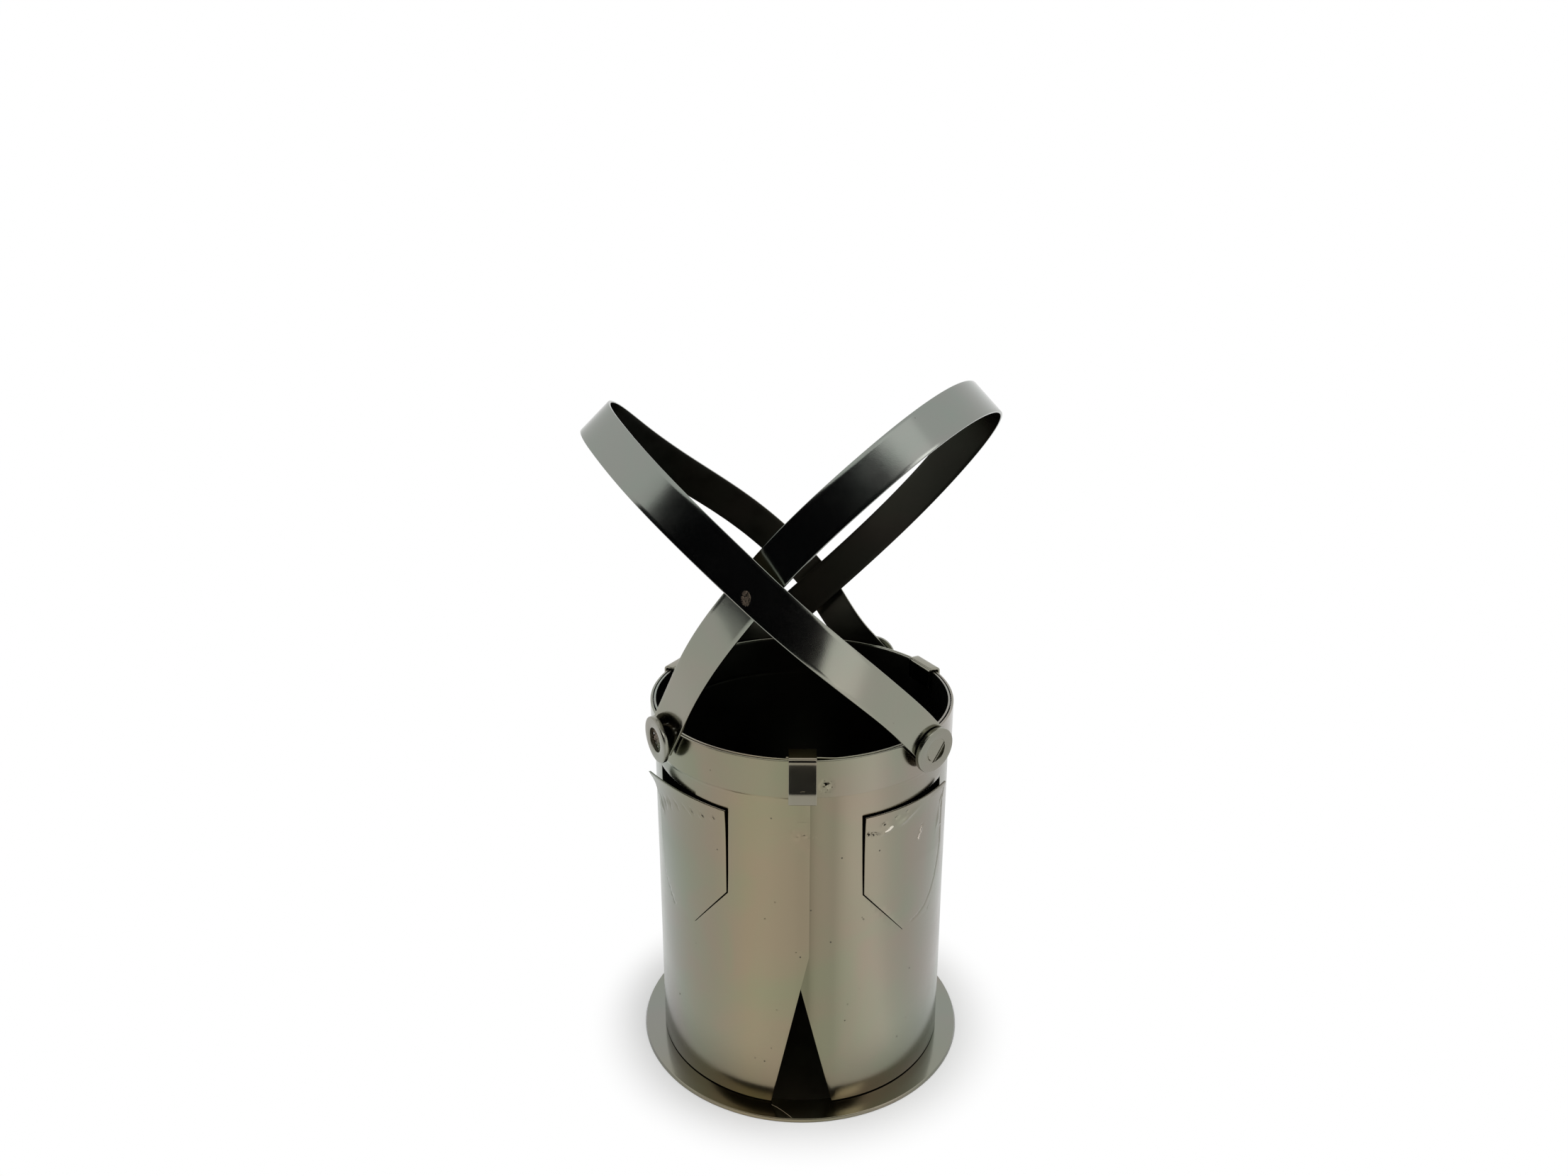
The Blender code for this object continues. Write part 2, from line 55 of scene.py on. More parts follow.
DISC_STEPS = 240
EDGE_START = DISC_RADIUS * 0.95
INSIDE_REACH = 0.0378


def at_turn(turn, reach, height=0.0):
    """A point at a turn from the front, positive towards the right, at a reach from the middle."""
    return Vector((math.sin(turn) * reach, -math.cos(turn) * reach, height))


def rounded(corner, first, last, radius, steps=4):
    """Points of a quarter round in a profile, between two angles in degrees."""
    angles = np.radians(np.linspace(first, last, steps + 1))
    return [(corner[0] + radius * math.cos(a), corner[1] + radius * math.sin(a)) for a in angles]


def finished(name, bm, finish, crease=35):
    """Turn worked metal into a piece with its plating, that rides with the holder."""
    bmesh.ops.recalc_face_normals(bm, faces=bm.faces)
    mesh = bpy.data.meshes.new(name)
    bm.to_mesh(mesh)
    bm.free()
    mesh.materials.append(finish)
    mesh.shade_smooth()
    mesh.set_sharp_from_angle(angle=math.radians(crease))
    piece = bpy.data.objects.new(name, mesh)
    bpy.context.scene.collection.objects.link(piece)
    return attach(piece, "root")


def skin(bm, rows, closed=True):
    """Cover neighbouring rows of points with faces; a row of one point is a tip."""
    for low, high in zip(rows[:-1], rows[1:]):
        count = max(len(low), len(high))
        for i in range(count if closed else count - 1):
            j = (i + 1) % count
            corners = [low[i % len(low)], low[j % len(low)], high[j % len(high)], high[i % len(high)]]
            bm.faces.new(list(dict.fromkeys(corners)))


def turn_on_lathe(name, profile, steps, finish, place=Matrix(), wander=None):
    """Turn a profile of (radius, height) points about its axis; a closed one makes a ring."""
    bm = bmesh.new()
    rings = []
    for radius, height in profile:
        if radius < 1e-7:
            rings.append([bm.verts.new(place @ Vector((0, 0, height)))])
            continue
        ring = []
        for i in range(steps):
            angle = math.tau * i / steps
            point = Vector((radius * math.cos(angle), radius * math.sin(angle), height))
            if wander is not None:
                point = wander(point)
            ring.append(bm.verts.new(place @ point))
        rings.append(ring)
    is_ring = profile[0][0] > 1e-7 and profile[-1][0] > 1e-7
    skin(bm, rings + rings[:1] if is_ring else rings)
    return finished(name, bm, finish)


def add_node(tree, kind, links=(), **settings):
    """A node with its settings; settings of sockets are given by socket name or number."""
    node = tree.nodes.new(kind)
    for key, value in settings.items():
        setattr(node, key, value)
    for socket, source in links:
        if isinstance(source, bpy.types.NodeSocket):
            tree.links.new(source, node.inputs[socket])
        else:
            node.inputs[socket].default_value = source
    return node


def reckon(tree, operation, *values):
    """A number that the finish works out from others."""
    return add_node(tree, "ShaderNodeMath", list(enumerate(values)), operation=operation).outputs[0]


def ranged(tree, value, before, after=(0.0, 1.0), **settings):
    """A value of one range moved to another."""
    return add_node(tree, "ShaderNodeMapRange", [
        ("Value", value), ("From Min", before[0]), ("From Max", before[1]),
        ("To Min", after[0]), ("To Max", after[1]),
    ], **settings).outputs["Result"]


def clouded(tree, place, scale, detail, roughness, distortion=0.0):
    """Cloudy noise, read at a place."""
    return add_node(tree, "ShaderNodeTexNoise", [
        ("Vector", place), ("Scale", scale), ("Detail", detail), ("Roughness", roughness),
        ("Distortion", distortion),
    ]).outputs["Fac"]


def relief(tree, strength, distance, height, under=None, sunk=False):
    """Fine relief in the surface, on top of what lies under it."""
    links = [("Strength", strength), ("Distance", distance), ("Height", height)]
    if under is not None:
        links.append(("Normal", under))
    return add_node(tree, "ShaderNodeBump", links, invert=sunk).outputs["Normal"]


def set_stops(ramp, shares, tones):
    """Give a colour ramp its stops, in order, each with a share of its length and a tone."""
    stops = ramp.color_ramp.elements
    while len(stops) < len(shares):
        stops.new(0.5)
    for stop, share in zip(stops, shares):
        stop.position = share
    for stop, tone in zip(stops, tones):
        stop.color = (*tone, 1)


def plated_steel(name, bath, roughness, grain, along="turn", patches=0.05, pits=0.05, streaks=None):
    """Gunmetal plating: tones that drift round the piece or up it, some of them painted shade and sheen,
    tinted patches, a satin grain and stray pits.

    bath lists (turn in degrees, tone), or with along="height" (height in metres, tone); roughness
    is the lowest and the highest, and grain and streaks are each a scale and a strength.
    """
    material = bpy.data.materials.new(name)
    material.use_nodes = True
    tree = material.node_tree
    shader = tree.nodes["Principled BSDF"]
    shader.inputs["Metallic"].default_value = 1.0
    place = add_node(tree, "ShaderNodeTexCoord").outputs["Object"]

    # The tone drifts round the holder or up it
    if along == "turn":
        around = add_node(tree, "ShaderNodeTexGradient", [("Vector", place)], gradient_type="RADIAL")
        position = around.outputs["Fac"]
        shares = [(turn + 90) / 360 for turn, _ in bath]
    else:
        height = add_node(tree, "ShaderNodeSeparateXYZ", [("Vector", place)]).outputs["Z"]
        low, high = bath[0][0], bath[-1][0]
        position = ranged(tree, height, (low, high))
        shares = [(rise - low) / (high - low) for rise, _ in bath]
    ramp = add_node(tree, "ShaderNodeValToRGB", [("Fac", position)])
    set_stops(ramp, shares, [tone for _, tone in bath])

    # Patches a little pinker and a little greener than the rest
    drift = clouded(tree, place, 42.0, 3.0, 0.5, distortion=0.8)
    tint = add_node(tree, "ShaderNodeValToRGB", [("Fac", drift)])
    pinker = (1 + patches, 1 - patches * 0.5, 1 - patches * 0.2)
    greener = (1 - patches, 1 + patches * 0.5, 1 - patches * 0.4)
    set_stops(tint, (0.36, 0.64), (pinker, greener))
    tinted = add_node(tree, "ShaderNodeMix", [
        ("Factor", 1.0), (6, ramp.outputs["Color"]), (7, tint.outputs["Color"]),
    ], data_type="RGBA", blend_type="MULTIPLY", clamp_result=True)

    # Stray pits and specks in the plating, darker than the rest
    cells = add_node(tree, "ShaderNodeTexVoronoi", [("Vector", place), ("Scale", 430.0), ("Randomness", 1.0)])
    rare = add_node(
        tree, "ShaderNodeTexWhiteNoise", [("Vector", cells.outputs["Position"])], noise_dimensions="3D",
    )
    chosen = reckon(tree, "GREATER_THAN", rare.outputs["Value"], 1 - pits)
    near = ranged(tree, cells.outputs["Distance"], (0.05, 0.13), (1.0, 0.0))
    pit = reckon(tree, "MULTIPLY", near, chosen)
    pitted = add_node(tree, "ShaderNodeMix", [
        ("Factor", pit), (6, tinted.outputs[2]), (7, (0.05, 0.045, 0.035, 1)),
    ], data_type="RGBA")
    tree.links.new(pitted.outputs[2], shader.inputs["Base Color"])

    # Rubbed patches change the gloss, not the colour
    rubbed = clouded(tree, place, 95.0, 5.0, 0.62)
    tree.links.new(ranged(tree, rubbed, (0.3, 0.7), roughness), shader.inputs["Roughness"])

    # Satin grain of the sheet under the plating, streaks of rolling, and the pits
    surface = relief(tree, grain[1], 0.00002, clouded(tree, place, grain[0], 2.0, 0.7))
    if streaks is not None:
        stretched = add_node(tree, "ShaderNodeMapping", [("Vector", place), ("Scale", streaks[0])])
        rolled = clouded(tree, stretched.outputs["Vector"], 1.0, 3.0, 0.6)
        surface = relief(tree, streaks[1], 0.00002, rolled, under=surface)
    surface = relief(tree, 0.5, 0.00004, pit, under=surface, sunk=True)
    tree.links.new(surface, shader.inputs["Normal"])
    return material


# Tones round the holder from its left side over the front to the back: warm in front and cooler towards the
# sides, a painted sheen, and darker just right of the lap, painted shade
SHEET_TONES_AND_SHADE = (
    (-90, (0.236, 0.244, 0.222)), (-62, (0.238, 0.245, 0.212)), (-46, (0.25, 0.243, 0.186)),
    (-34, (0.262, 0.24, 0.174)), (-20, (0.284, 0.249, 0.16)), (2, (0.277, 0.248, 0.164)),
    (5, (0.25, 0.226, 0.153)), (11, (0.256, 0.233, 0.162)), (17, (0.275, 0.249, 0.182)),
    (36, (0.262, 0.247, 0.192)), (56, (0.247, 0.244, 0.204)),
    (90, (0.24, 0.243, 0.216)), (180, (0.262, 0.247, 0.185)), (270, (0.236, 0.244, 0.222)),
)
SHEET_STREAKS = ((260.0, 260.0, 30.0), 0.1)
sheet_plating = plated_steel("sheet_plating", SHEET_TONES_AND_SHADE, (0.19, 0.25), (5200.0, 0.18), streaks=SHEET_STREAKS)
# The disc takes the same tones round it, painted sheen and shade among them
disc_plating = plated_steel("disc_plating", SHEET_TONES_AND_SHADE, (0.09, 0.15), (4300.0, 0.08), patches=0.03)


def darkened(bath, share):
    """A bath's tones, each brought down to a share of itself."""
    return [(turn, tuple(share * part for part in tone)) for turn, tone in bath]


# Painted shade: faces turned into the holder are painted dull and near black, for the shade and the dark
# reflections inside it
inside_shade_plating = plated_steel(
    "inside_shade_plating", darkened(SHEET_TONES_AND_SHADE, 0.13), (0.32, 0.45), (3800.0, 0.3), pits=0.15,
)
inside_shade_shader = inside_shade_plating.node_tree.nodes["Principled BSDF"]
inside_shade_shader.inputs["Specular Tint"].default_value = (0.2, 0.19, 0.16, 1)

# The disc's sheared side is painted dark and rough: painted shade, for the dark edge that mirrors the shadow
# at the disc's foot
sheared_shade_plating = plated_steel(
    "sheared_shade_plating", darkened(SHEET_TONES_AND_SHADE, 0.3), (0.3, 0.45), (3000.0, 0.4), pits=0.2,
)


def disc_face(reach):
    """Height of the disc's top, which the blanking punch drew down towards the rim."""
    return DISC_THICKNESS - DROOP_DEPTH * (max(reach - DROOP_START, 0) / (DISC_RADIUS - DROOP_START)) ** 2


roll_middle = DISC_RADIUS - DISC_SLANT - DISC_ROLL
disc_top = [(reach, disc_face(reach)) for reach in (0.0, 0.014, 0.026, 0.034, INSIDE_REACH)]
disc_top += [(reach, disc_face(reach)) for reach in np.linspace(DROOP_START, roll_middle, 9)]
disc_top += rounded((roll_middle, disc_face(roll_middle) - DISC_ROLL), 84, 14, DISC_ROLL, 6)
disc_low = rounded((DISC_RADIUS - DISC_BURR, DISC_BURR), 10, -90, DISC_BURR, 3)
disc_low += [(DISC_RADIUS * share, 0.0) for share in (0.9, 0.5)] + [(0.0, 0.0)]


def blanked(point):
    """The disc as punched: out of round by a hair."""
    reach = math.hypot(point.x, point.y)
    if reach < EDGE_START:
        return point
    ripple = noise.noise(Vector((point.x, point.y, 0)) * 60) * DISC_RIPPLE
    return Vector((point.x * (1 + ripple / reach), point.y * (1 + ripple / reach), point.z))


def plate_faces(piece, finish, is_chosen):
    """Give a piece's chosen faces, told by their middle and facing, a plating of their own."""
    piece.data.materials.append(finish)
    for face in piece.data.polygons:
        if is_chosen(face.center, face.normal):
            face.material_index = len(piece.data.materials) - 1


base_disc = turn_on_lathe("scene_base_disc", disc_top + disc_low, DISC_STEPS, disc_plating, wander=blanked)
# The disc's top inside the trousers is painted near black: painted shade
plate_faces(base_disc, inside_shade_plating, lambda middle, facing: (
    facing.z > 0.5 and middle.xy.length < INSIDE_REACH
))
# Its sheared side is painted dark: painted shade
plate_faces(base_disc, sheared_shade_plating, lambda middle, facing: (
    facing.z < 0.3 and middle.xy.length > EDGE_START
))
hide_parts("base_disc")

# A scratch with a raised burr runs out from under the left leg to the disc's edge: turn in
# degrees and reach; then the way across it, its half width and its height
SCRATCH = ((-10.6, 0.0403), (-8.6, 0.0409), (-6.4, 0.0419), (-4.3, 0.0431), (-2.6, 0.0443))
SCRATCH_SIDE = Vector((0.35, 0.94, 0))
SCRATCH_SIZE = 0.00009
SCRATCH_RISE = 0.00006
bm = bmesh.new()
rows = []
for turn, reach in SCRATCH:
    line = at_turn(math.radians(turn), reach, disc_face(reach))
    side, burr = SCRATCH_SIDE * SCRATCH_SIZE, Vector((0, 0, SCRATCH_RISE))
    rows.append([bm.verts.new(point) for point in (line - side, line + burr, line + side)])
skin(bm, rows, closed=False)
scratch = finished("scene_disc_scratch", bm, sheet_plating, crease=180)


# ---------------------------------------------------------------------------
# Trousers.  One piece of 0.6 mm sheet: the V between the legs and the two pockets
# are cut in the flat blank, then it is rolled to a tube and its ends lap at the
# front.  The pockets hang on by their outer side and foot and are pushed outward.
# ---------------------------------------------------------------------------
TUBE_RADIUS = 0.03925
SHEET = 0.0006
RIM = 0.102
HEM = 0.0013
SHEAR_EDGE = 0.0001
SEAM_OFFSET = 0.0022
SEAM_LAP = 0.006
TUCK_START = 0.0032
TUCK_RAMP = 0.006
TUCK_DEPTH = 0.0009
CROTCH = 0.0365
RIGHT_LEG_INSET = 0.0085
LEFT_LEG_INSET = 0.0076
MOUTH_FLARE = 0.0007
SIDE_FLARE = 0.0008

# Each pocket's cut as (turn in degrees, share of the rim's height, width of the cut in
# millimetres), from the outer end of the foot round to the point
RIGHT_POCKET = (
    (58.5, 0.479, 0.12), (68.0, 0.560, 0.24), (65.5, 0.841, 0.62), (22.5, 0.837, 0.6),
    (23.3, 0.616, 0.32), (42.0, 0.473, 0.1),
)
LEFT_POCKET = (
    (-58.0, 0.489, 0.12), (-67.0, 0.565, 0.24), (-67.0, 0.862, 0.62), (-27.3, 0.846, 0.6),
    (-27.9, 0.611, 0.36), (-44.2, 0.485, 0.12),
)

# How far each pocket's outer upper corner stands out
RIGHT_CORNER_FLARE = 0.002
LEFT_CORNER_FLARE = 0.0032

# Marks of tools and tack welds: turn in degrees, height, half length, half width, slant in
# degrees, depth (outward is positive), all lengths in millimetres
SHEET_MARKS = (
    (-1.3, 81.4, 0.6, 0.5, 0, -0.2),
    (-0.4, 81.0, 1.2, 1.0, 0, 0.3),
    (1.2, 81.9, 0.4, 0.3, 40, -0.14),
    (2.6, 81.1, 0.5, 0.35, 0, -0.16),
    (4.9, 80.4, 0.4, 0.35, 0, -0.16),
    (-3.2, 82.6, 0.45, 0.3, 30, -0.1),
    (-33.2, 82.9, 1.0, 0.2, -48, -0.22),
    (-34.1, 82.2, 0.8, 0.3, -48, 0.1),
    (-38.2, 82.4, 1.05, 0.2, -44, -0.22),
    (-39.2, 81.8, 0.8, 0.3, -44, 0.1),
    (-43.4, 82.3, 1.0, 0.2, -50, -0.22),
    (-44.3, 81.6, 0.8, 0.3, -50, 0.1),
    (-47.5, 82.3, 0.9, 0.3, -35, -0.12),
    (-52.0, 81.6, 1.2, 0.3, -50, -0.17),
    (-56.5, 80.8, 1.3, 0.3, -75, -0.2),
    (-58.6, 80.6, 1.1, 0.25, -80, 0.16),
    (-60.5, 79.8, 1.4, 0.35, -75, -0.2),
    (-63.3, 78.0, 1.8, 0.45, -70, 0.3),
    (24.9, 80.1, 0.6, 0.34, 60, -0.46),
    (26.4, 79.8, 0.6, 0.34, -60, -0.46),
    (27.9, 79.7, 0.8, 0.34, -35, -0.44),
    (30.6, 79.2, 1.2, 0.5, -20, 0.2),
    (32.6, 80.1, 2.0, 1.0, 15, 0.42),
    (39.8, 80.9, 1.7, 0.9, 15, 0.36),
    (31.0, 81.9, 0.7, 0.35, 20, -0.3),
    (36.5, 82.6, 0.8, 0.35, 20, -0.32),
    (41.5, 83.2, 0.7, 0.35, 20, -0.3),
    (43.0, 81.8, 2.6, 0.6, 20, 0.24),
    (49.4, 75.4, 0.8, 0.5, 70, 0.2),
    (48.4, 73.8, 0.6, 0.4, 80, 0.2),
    (50.2, 76.8, 0.5, 0.3, 30, -0.22),
    (63.0, 81.2, 1.4, 0.3, 60, -0.28),
    (64.4, 78.4, 1.4, 0.3, 75, -0.26),
    (61.8, 75.0, 2.4, 0.4, 80, 0.26),
)

# Elsewhere the sheet is formed in this many steps round it, and in steps of this height
ROUND_STEPS = 180
FIRST_STEP = 0.006
RISE_STEP = 0.0018

# Where the sheet is worked finely: first and last turn in degrees, then lowest and highest in
# millimetres; the left pocket's stitches lie in two of them, for a finer step
FINE_STEP = 0.00025
FINE_WORK = (
    (-47.4, -30.8, 80.4, 84.6), (-6, 8, 78.5, 84.5), (-66, -30, 76.0, 86.5), (22.5, 53, 72.0, 85.0),
    (59, 67, 72.0, 84.0), (46, 67.5, 48.5, 72.0),
)

# The crease where the right pocket's outer side and foot were bent, thin and sharp: turn in
# degrees and height in millimetres; then its half width and depth, in millimetres
CREASE = (
    (64.2, 84.0), (64.8, 76.0), (64.9, 68.0), (64.2, 62.0), (62.6, 57.6), (59.6, 53.9),
    (55.6, 51.2), (51.0, 49.9), (47.0, 49.3),
)
CREASE_SIZE = 0.26
CREASE_DEPTH = 0.17

# The sheet sinks a little beside each pocket's upright cut, and is never quite round
CUT_SINK = 0.00022
CUT_SINK_REACH = 0.0026
ROLL_RIPPLE = 0.00009
RIPPLE_FADE = 0.02

# Pressing the belt on has raised a low lip in the sheet under the belt's foot, which is lower
# right of the seam
LIP_HEIGHT = 0.09132
LIP_SIZE = 0.0003
LIP_RISE = 0.0002
LIP_RIGHT_SHARE = 0.45


def pocket_cut(course, wrap):
    """A pocket's cut on the flat blank, as (arc length, height) points."""
    return [Vector((TUBE_RADIUS * (math.radians(turn) + wrap), RIM * share)) for turn, share, _ in course]


def moved_in(course, widths):
    """A cut moved towards the middle of its pocket by a width at each corner, its corners kept sharp."""
    middle = sum(course, Vector((0, 0))) / len(course)
    normals = []
    for start, end in zip(course[:-1], course[1:]):
        along = (end - start).normalized()
        normal = Vector((-along.y, along.x))
        if normal.dot(middle - start) < 0:
            normal.negate()
        normals.append(normal)
    corners = zip(course, normals[:1] + normals, normals + normals[-1:], widths)
    return [point + (a + b) * (width / (1 + a.dot(b))) for point, a, b, width in corners]


def inside_cut(course, arc, up):
    """Whether a point of the blank lies within a pocket's cut."""
    crossings = 0
    for start, end in zip(course, course[1:] + course[:1]):
        if (start.y > up) != (end.y > up):
            share = (up - start.y) / (end.y - start.y)
            crossings += start.x + (end.x - start.x) * share > arc
    return crossings % 2 == 1


def pocket_push(flap, corner_flare, arc, up):
    """How far a point of a pocket is pushed out of the tube's round."""
    foot, outer, inner = flap[-1].y, flap[2], flap[3]
    across = (arc - inner.x) / (outer.x - inner.x)
    rise = (up - foot) / (inner.y - foot)
    side = SIDE_FLARE * across * min(max(2 * rise, 0), 1)
    mouth = MOUTH_FLARE + (corner_flare - MOUTH_FLARE) * across * across
    return side + (mouth - side) * max(rise, 0) ** 8


def mark_push(turn, up):
    """Dents and welds in the sheet at a turn in degrees and a height in millimetres."""
    push = 0.0
    for at, height, length, width, slant, depth in SHEET_MARKS:
        across = math.radians(turn - at) * TUBE_RADIUS * 1000
        rise = up - height
        if abs(across) > 3 * length + 1 or abs(rise) > 3 * length + 1:
            continue
        c, s = math.cos(math.radians(slant)), math.sin(math.radians(slant))
        u = (across * c + rise * s) / length
        v = (rise * c - across * s) / width
        push += depth * math.exp(-u * u - v * v)
    return push / 1000


def cut_sink(cut, arc, up):
    """How far the sheet beside a pocket has sunk along the pocket's upright cut."""
    top, foot = cut[3], cut[4]
    along = (top.y - up) / (top.y - foot.y)
    ends = min(max(1.5 - abs(along - 0.5) * 2, 0), 1)
    across = (arc - top.x - (foot.x - top.x) * along) / CUT_SINK_REACH
    return CUT_SINK * ends * math.exp(-across * across)


def on_flat(turn, up):
    """A point of the flat blank in millimetres, from its turn in degrees and its height."""
    return Vector((math.radians(turn) * TUBE_RADIUS * 1000, up))


def crease_push(turn, up):
    """The right pocket's crease, at a turn in degrees and a height in millimetres."""
    if not (44 < turn < 69 and 47 < up < 86):
        return 0.0
    here = on_flat(turn, up)
    nearest = 9.0
    for start, end in zip(CREASE[:-1], CREASE[1:]):
        a, b = on_flat(*start), on_flat(*end)
        share = min(max((here - a).dot(b - a) / (b - a).length_squared, 0), 1)
        nearest = min(nearest, (here - a.lerp(b, share)).length)
    return -CREASE_DEPTH / 1000 * math.exp(-(nearest / CREASE_SIZE) ** 2)


def ripple_place(turn, up):
    """Where in the noise the sheet's ripples are read, at a turn in radians and a height."""
    return at_turn(turn, 1.9, up * 32)


def mesh_of(curve):
    """The mesh that a drawn curve makes; the curve itself isn't kept."""
    drawn = bpy.data.objects.new(curve.name, curve)
    bpy.context.scene.collection.objects.link(drawn)
    bpy.context.view_layer.update()
    mesh = bpy.data.meshes.new_from_object(drawn.evaluated_get(bpy.context.evaluated_depsgraph_get()))
    bpy.data.objects.remove(drawn, do_unlink=True)
    return mesh


def flat_blank(outlines, thickness, edge):
    """A flat blank with its slots, cut from sheet and with its sheared edges eased."""
    curve = bpy.data.curves.new("blank", "CURVE")
    curve.dimensions = "2D"
    curve.fill_mode = "BOTH"
    curve.extrude = thickness / 2 - edge
    curve.bevel_depth = edge
    curve.bevel_resolution = 1
    curve.offset = -edge
    for outline in outlines:
        spline = curve.splines.new("POLY")
        spline.points.add(len(outline) - 1)
        for point, (arc, up) in zip(spline.points, outline):
            point.co = (arc, up, 0, 1)
        spline.use_cyclic_u = True
    mesh = mesh_of(curve)
    bm = bmesh.new()
    bm.from_mesh(mesh)
    bpy.data.meshes.remove(mesh)
    bmesh.ops.remove_doubles(bm, verts=bm.verts, dist=0.000004)
    bmesh.ops.dissolve_limit(bm, angle_limit=math.radians(1), verts=bm.verts, edges=bm.edges)
    return bm


def scribe(bm, axis, places, area=None):
    """Cut faces along lines at the given places, so that they can be formed.

    area keeps it to the faces whose middle lies in (first arc, last arc, lowest, highest).
    """
    normal = (1, 0, 0) if axis == 0 else (0, 1, 0)
    for at in places:
        point = (at, 0, 0) if axis == 0 else (0, at, 0)
        near = []
        for face in bm.faces:
            if area is not None:
                middle = face.calc_center_median()
                if not (area[0] < middle.x < area[1] and area[2] < middle.y < area[3]):
                    continue
            values = [v.co[axis] for v in face.verts]
            if min(values) < at - 1e-6 and max(values) > at + 1e-6:
                near.append(face)
        parts = {e for f in near for e in f.edges} | {v for f in near for v in f.verts}
        bmesh.ops.bisect_plane(bm, geom=near + list(parts), plane_co=point, plane_no=normal)


round_length = math.tau * TUBE_RADIUS
right_slope = (CROTCH - HEM) / RIGHT_LEG_INSET
left_slope = (CROTCH - HEM) / LEFT_LEG_INSET
tucked_past = SEAM_LAP - SEAM_OFFSET
trouser_outline = [
    (RIGHT_LEG_INSET, HEM),
    (round_length - LEFT_LEG_INSET, HEM),
    (round_length + SEAM_OFFSET, CROTCH + left_slope * SEAM_OFFSET),
    (round_length + SEAM_OFFSET, RIM),
    (-tucked_past, RIM),
    (-tucked_past, CROTCH + right_slope * tucked_past),
]
cuts = []
for course, wrap, corner_flare in (
    (RIGHT_POCKET, 0, RIGHT_CORNER_FLARE), (LEFT_POCKET, math.tau, LEFT_CORNER_FLARE),
):
    widths = [width / 1000 for _, _, width in course]
    cuts.append((pocket_cut(course, wrap), widths, corner_flare))
slots = [cut + moved_in(cut, widths)[::-1] for cut, widths, _ in cuts]
bm = flat_blank([trouser_outline] + slots, SHEET, SHEAR_EDGE)
scribe(bm, 0, np.arange(0.0, round_length, round_length / ROUND_STEPS))
scribe(bm, 1, np.arange(FIRST_STEP, RIM, RISE_STEP))
scribe(bm, 1, [LIP_HEIGHT + LIP_SIZE * share for share in (-2, -1.3, -0.6, 0, 0.6, 1.3)])
for first, last, low, high in FINE_WORK:
    low, high = low / 1000, high / 1000
    wrap = 360 if last < 0 else 0
    spans = [(first + wrap, last + wrap)]
    if first < 0 < last:
        spans = [(0, last), (first + 360, 360 + math.degrees(SEAM_OFFSET / TUBE_RADIUS))]
    for span in spans:
        start, end = (math.radians(turn) * TUBE_RADIUS for turn in span)
        scribe(bm, 0, np.arange(start, end, FINE_STEP), (start, end, low, high))
        scribe(bm, 1, np.arange(low, high, FINE_STEP), (start, end, low, high))
flaps = [(moved_in(cut, [width / 2 for width in widths]), corner_flare) for cut, widths, corner_flare in cuts]
for vertex in bm.verts:
    arc, up, depth = vertex.co
    ramp = min(max((arc - TUCK_START) / TUCK_RAMP, 0), 1)
    tuck = TUCK_DEPTH * (1 - ramp * ramp * (3 - 2 * ramp))
    push = 0.0
    for flap, corner_flare in flaps:
        if inside_cut(flap, arc, up):
            push += pocket_push(flap, corner_flare, arc, up)
        else:
            push -= cut_sink(flap, arc, up)
    turn = math.degrees(arc / TUBE_RADIUS)
    if turn > 180:
        turn -= 360
    if arc > SEAM_OFFSET:
        push += mark_push(turn, up * 1000) + crease_push(turn, up * 1000)
    around = ripple_place(arc / TUBE_RADIUS, up)
    push += noise.noise(around) * ROLL_RIPPLE * min((RIM - up) / RIPPLE_FADE, 1)
    lip = math.exp(-((up - LIP_HEIGHT) / LIP_SIZE) ** 2) * (0.6 + 0.6 * noise.noise(around * 2.3))
    push += LIP_RISE * lip * (1 if turn < 3 else LIP_RIGHT_SHARE)
    vertex.co = at_turn(arc / TUBE_RADIUS, TUBE_RADIUS + depth - SHEET / 2 - tuck + push, up)
trousers = finished("scene_trousers", bm, sheet_plating)
# Painted shade: the trousers' inner face is painted near black
plate_faces(trousers, inside_shade_plating, lambda middle, facing: (
    facing.dot(middle.xy.to_3d()) < -0.3 * middle.xy.length
    and middle.xy.length < TUBE_RADIUS - SHEET * 0.7
))

# In the corner of the lap the under sheet is painted darker up to and just past the outer sheet's edge:
# painted shade of the gap under it
LAP_SHADE_TONES = (
    (-90, (0.19, 0.172, 0.112)), (3.2, (0.19, 0.172, 0.112)), (4.4, (0.236, 0.213, 0.143)),
    (6, (0.251, 0.227, 0.1545)), (270, (0.251, 0.227, 0.1545)),
)
lap_shade_plating = plated_steel("lap_shade_plating", LAP_SHADE_TONES, (0.19, 0.25), (5200.0, 0.18), streaks=SHEET_STREAKS)
# Painted shade on the under sheet beside the lap's edge
plate_faces(trousers, lap_shade_plating, lambda middle, facing: (
    0 < math.atan2(middle.x, -middle.y) < math.radians(6)
    and TUBE_RADIUS - middle.xy.length > SHEET and facing.y < -0.7
))
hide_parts("trouser_tube")


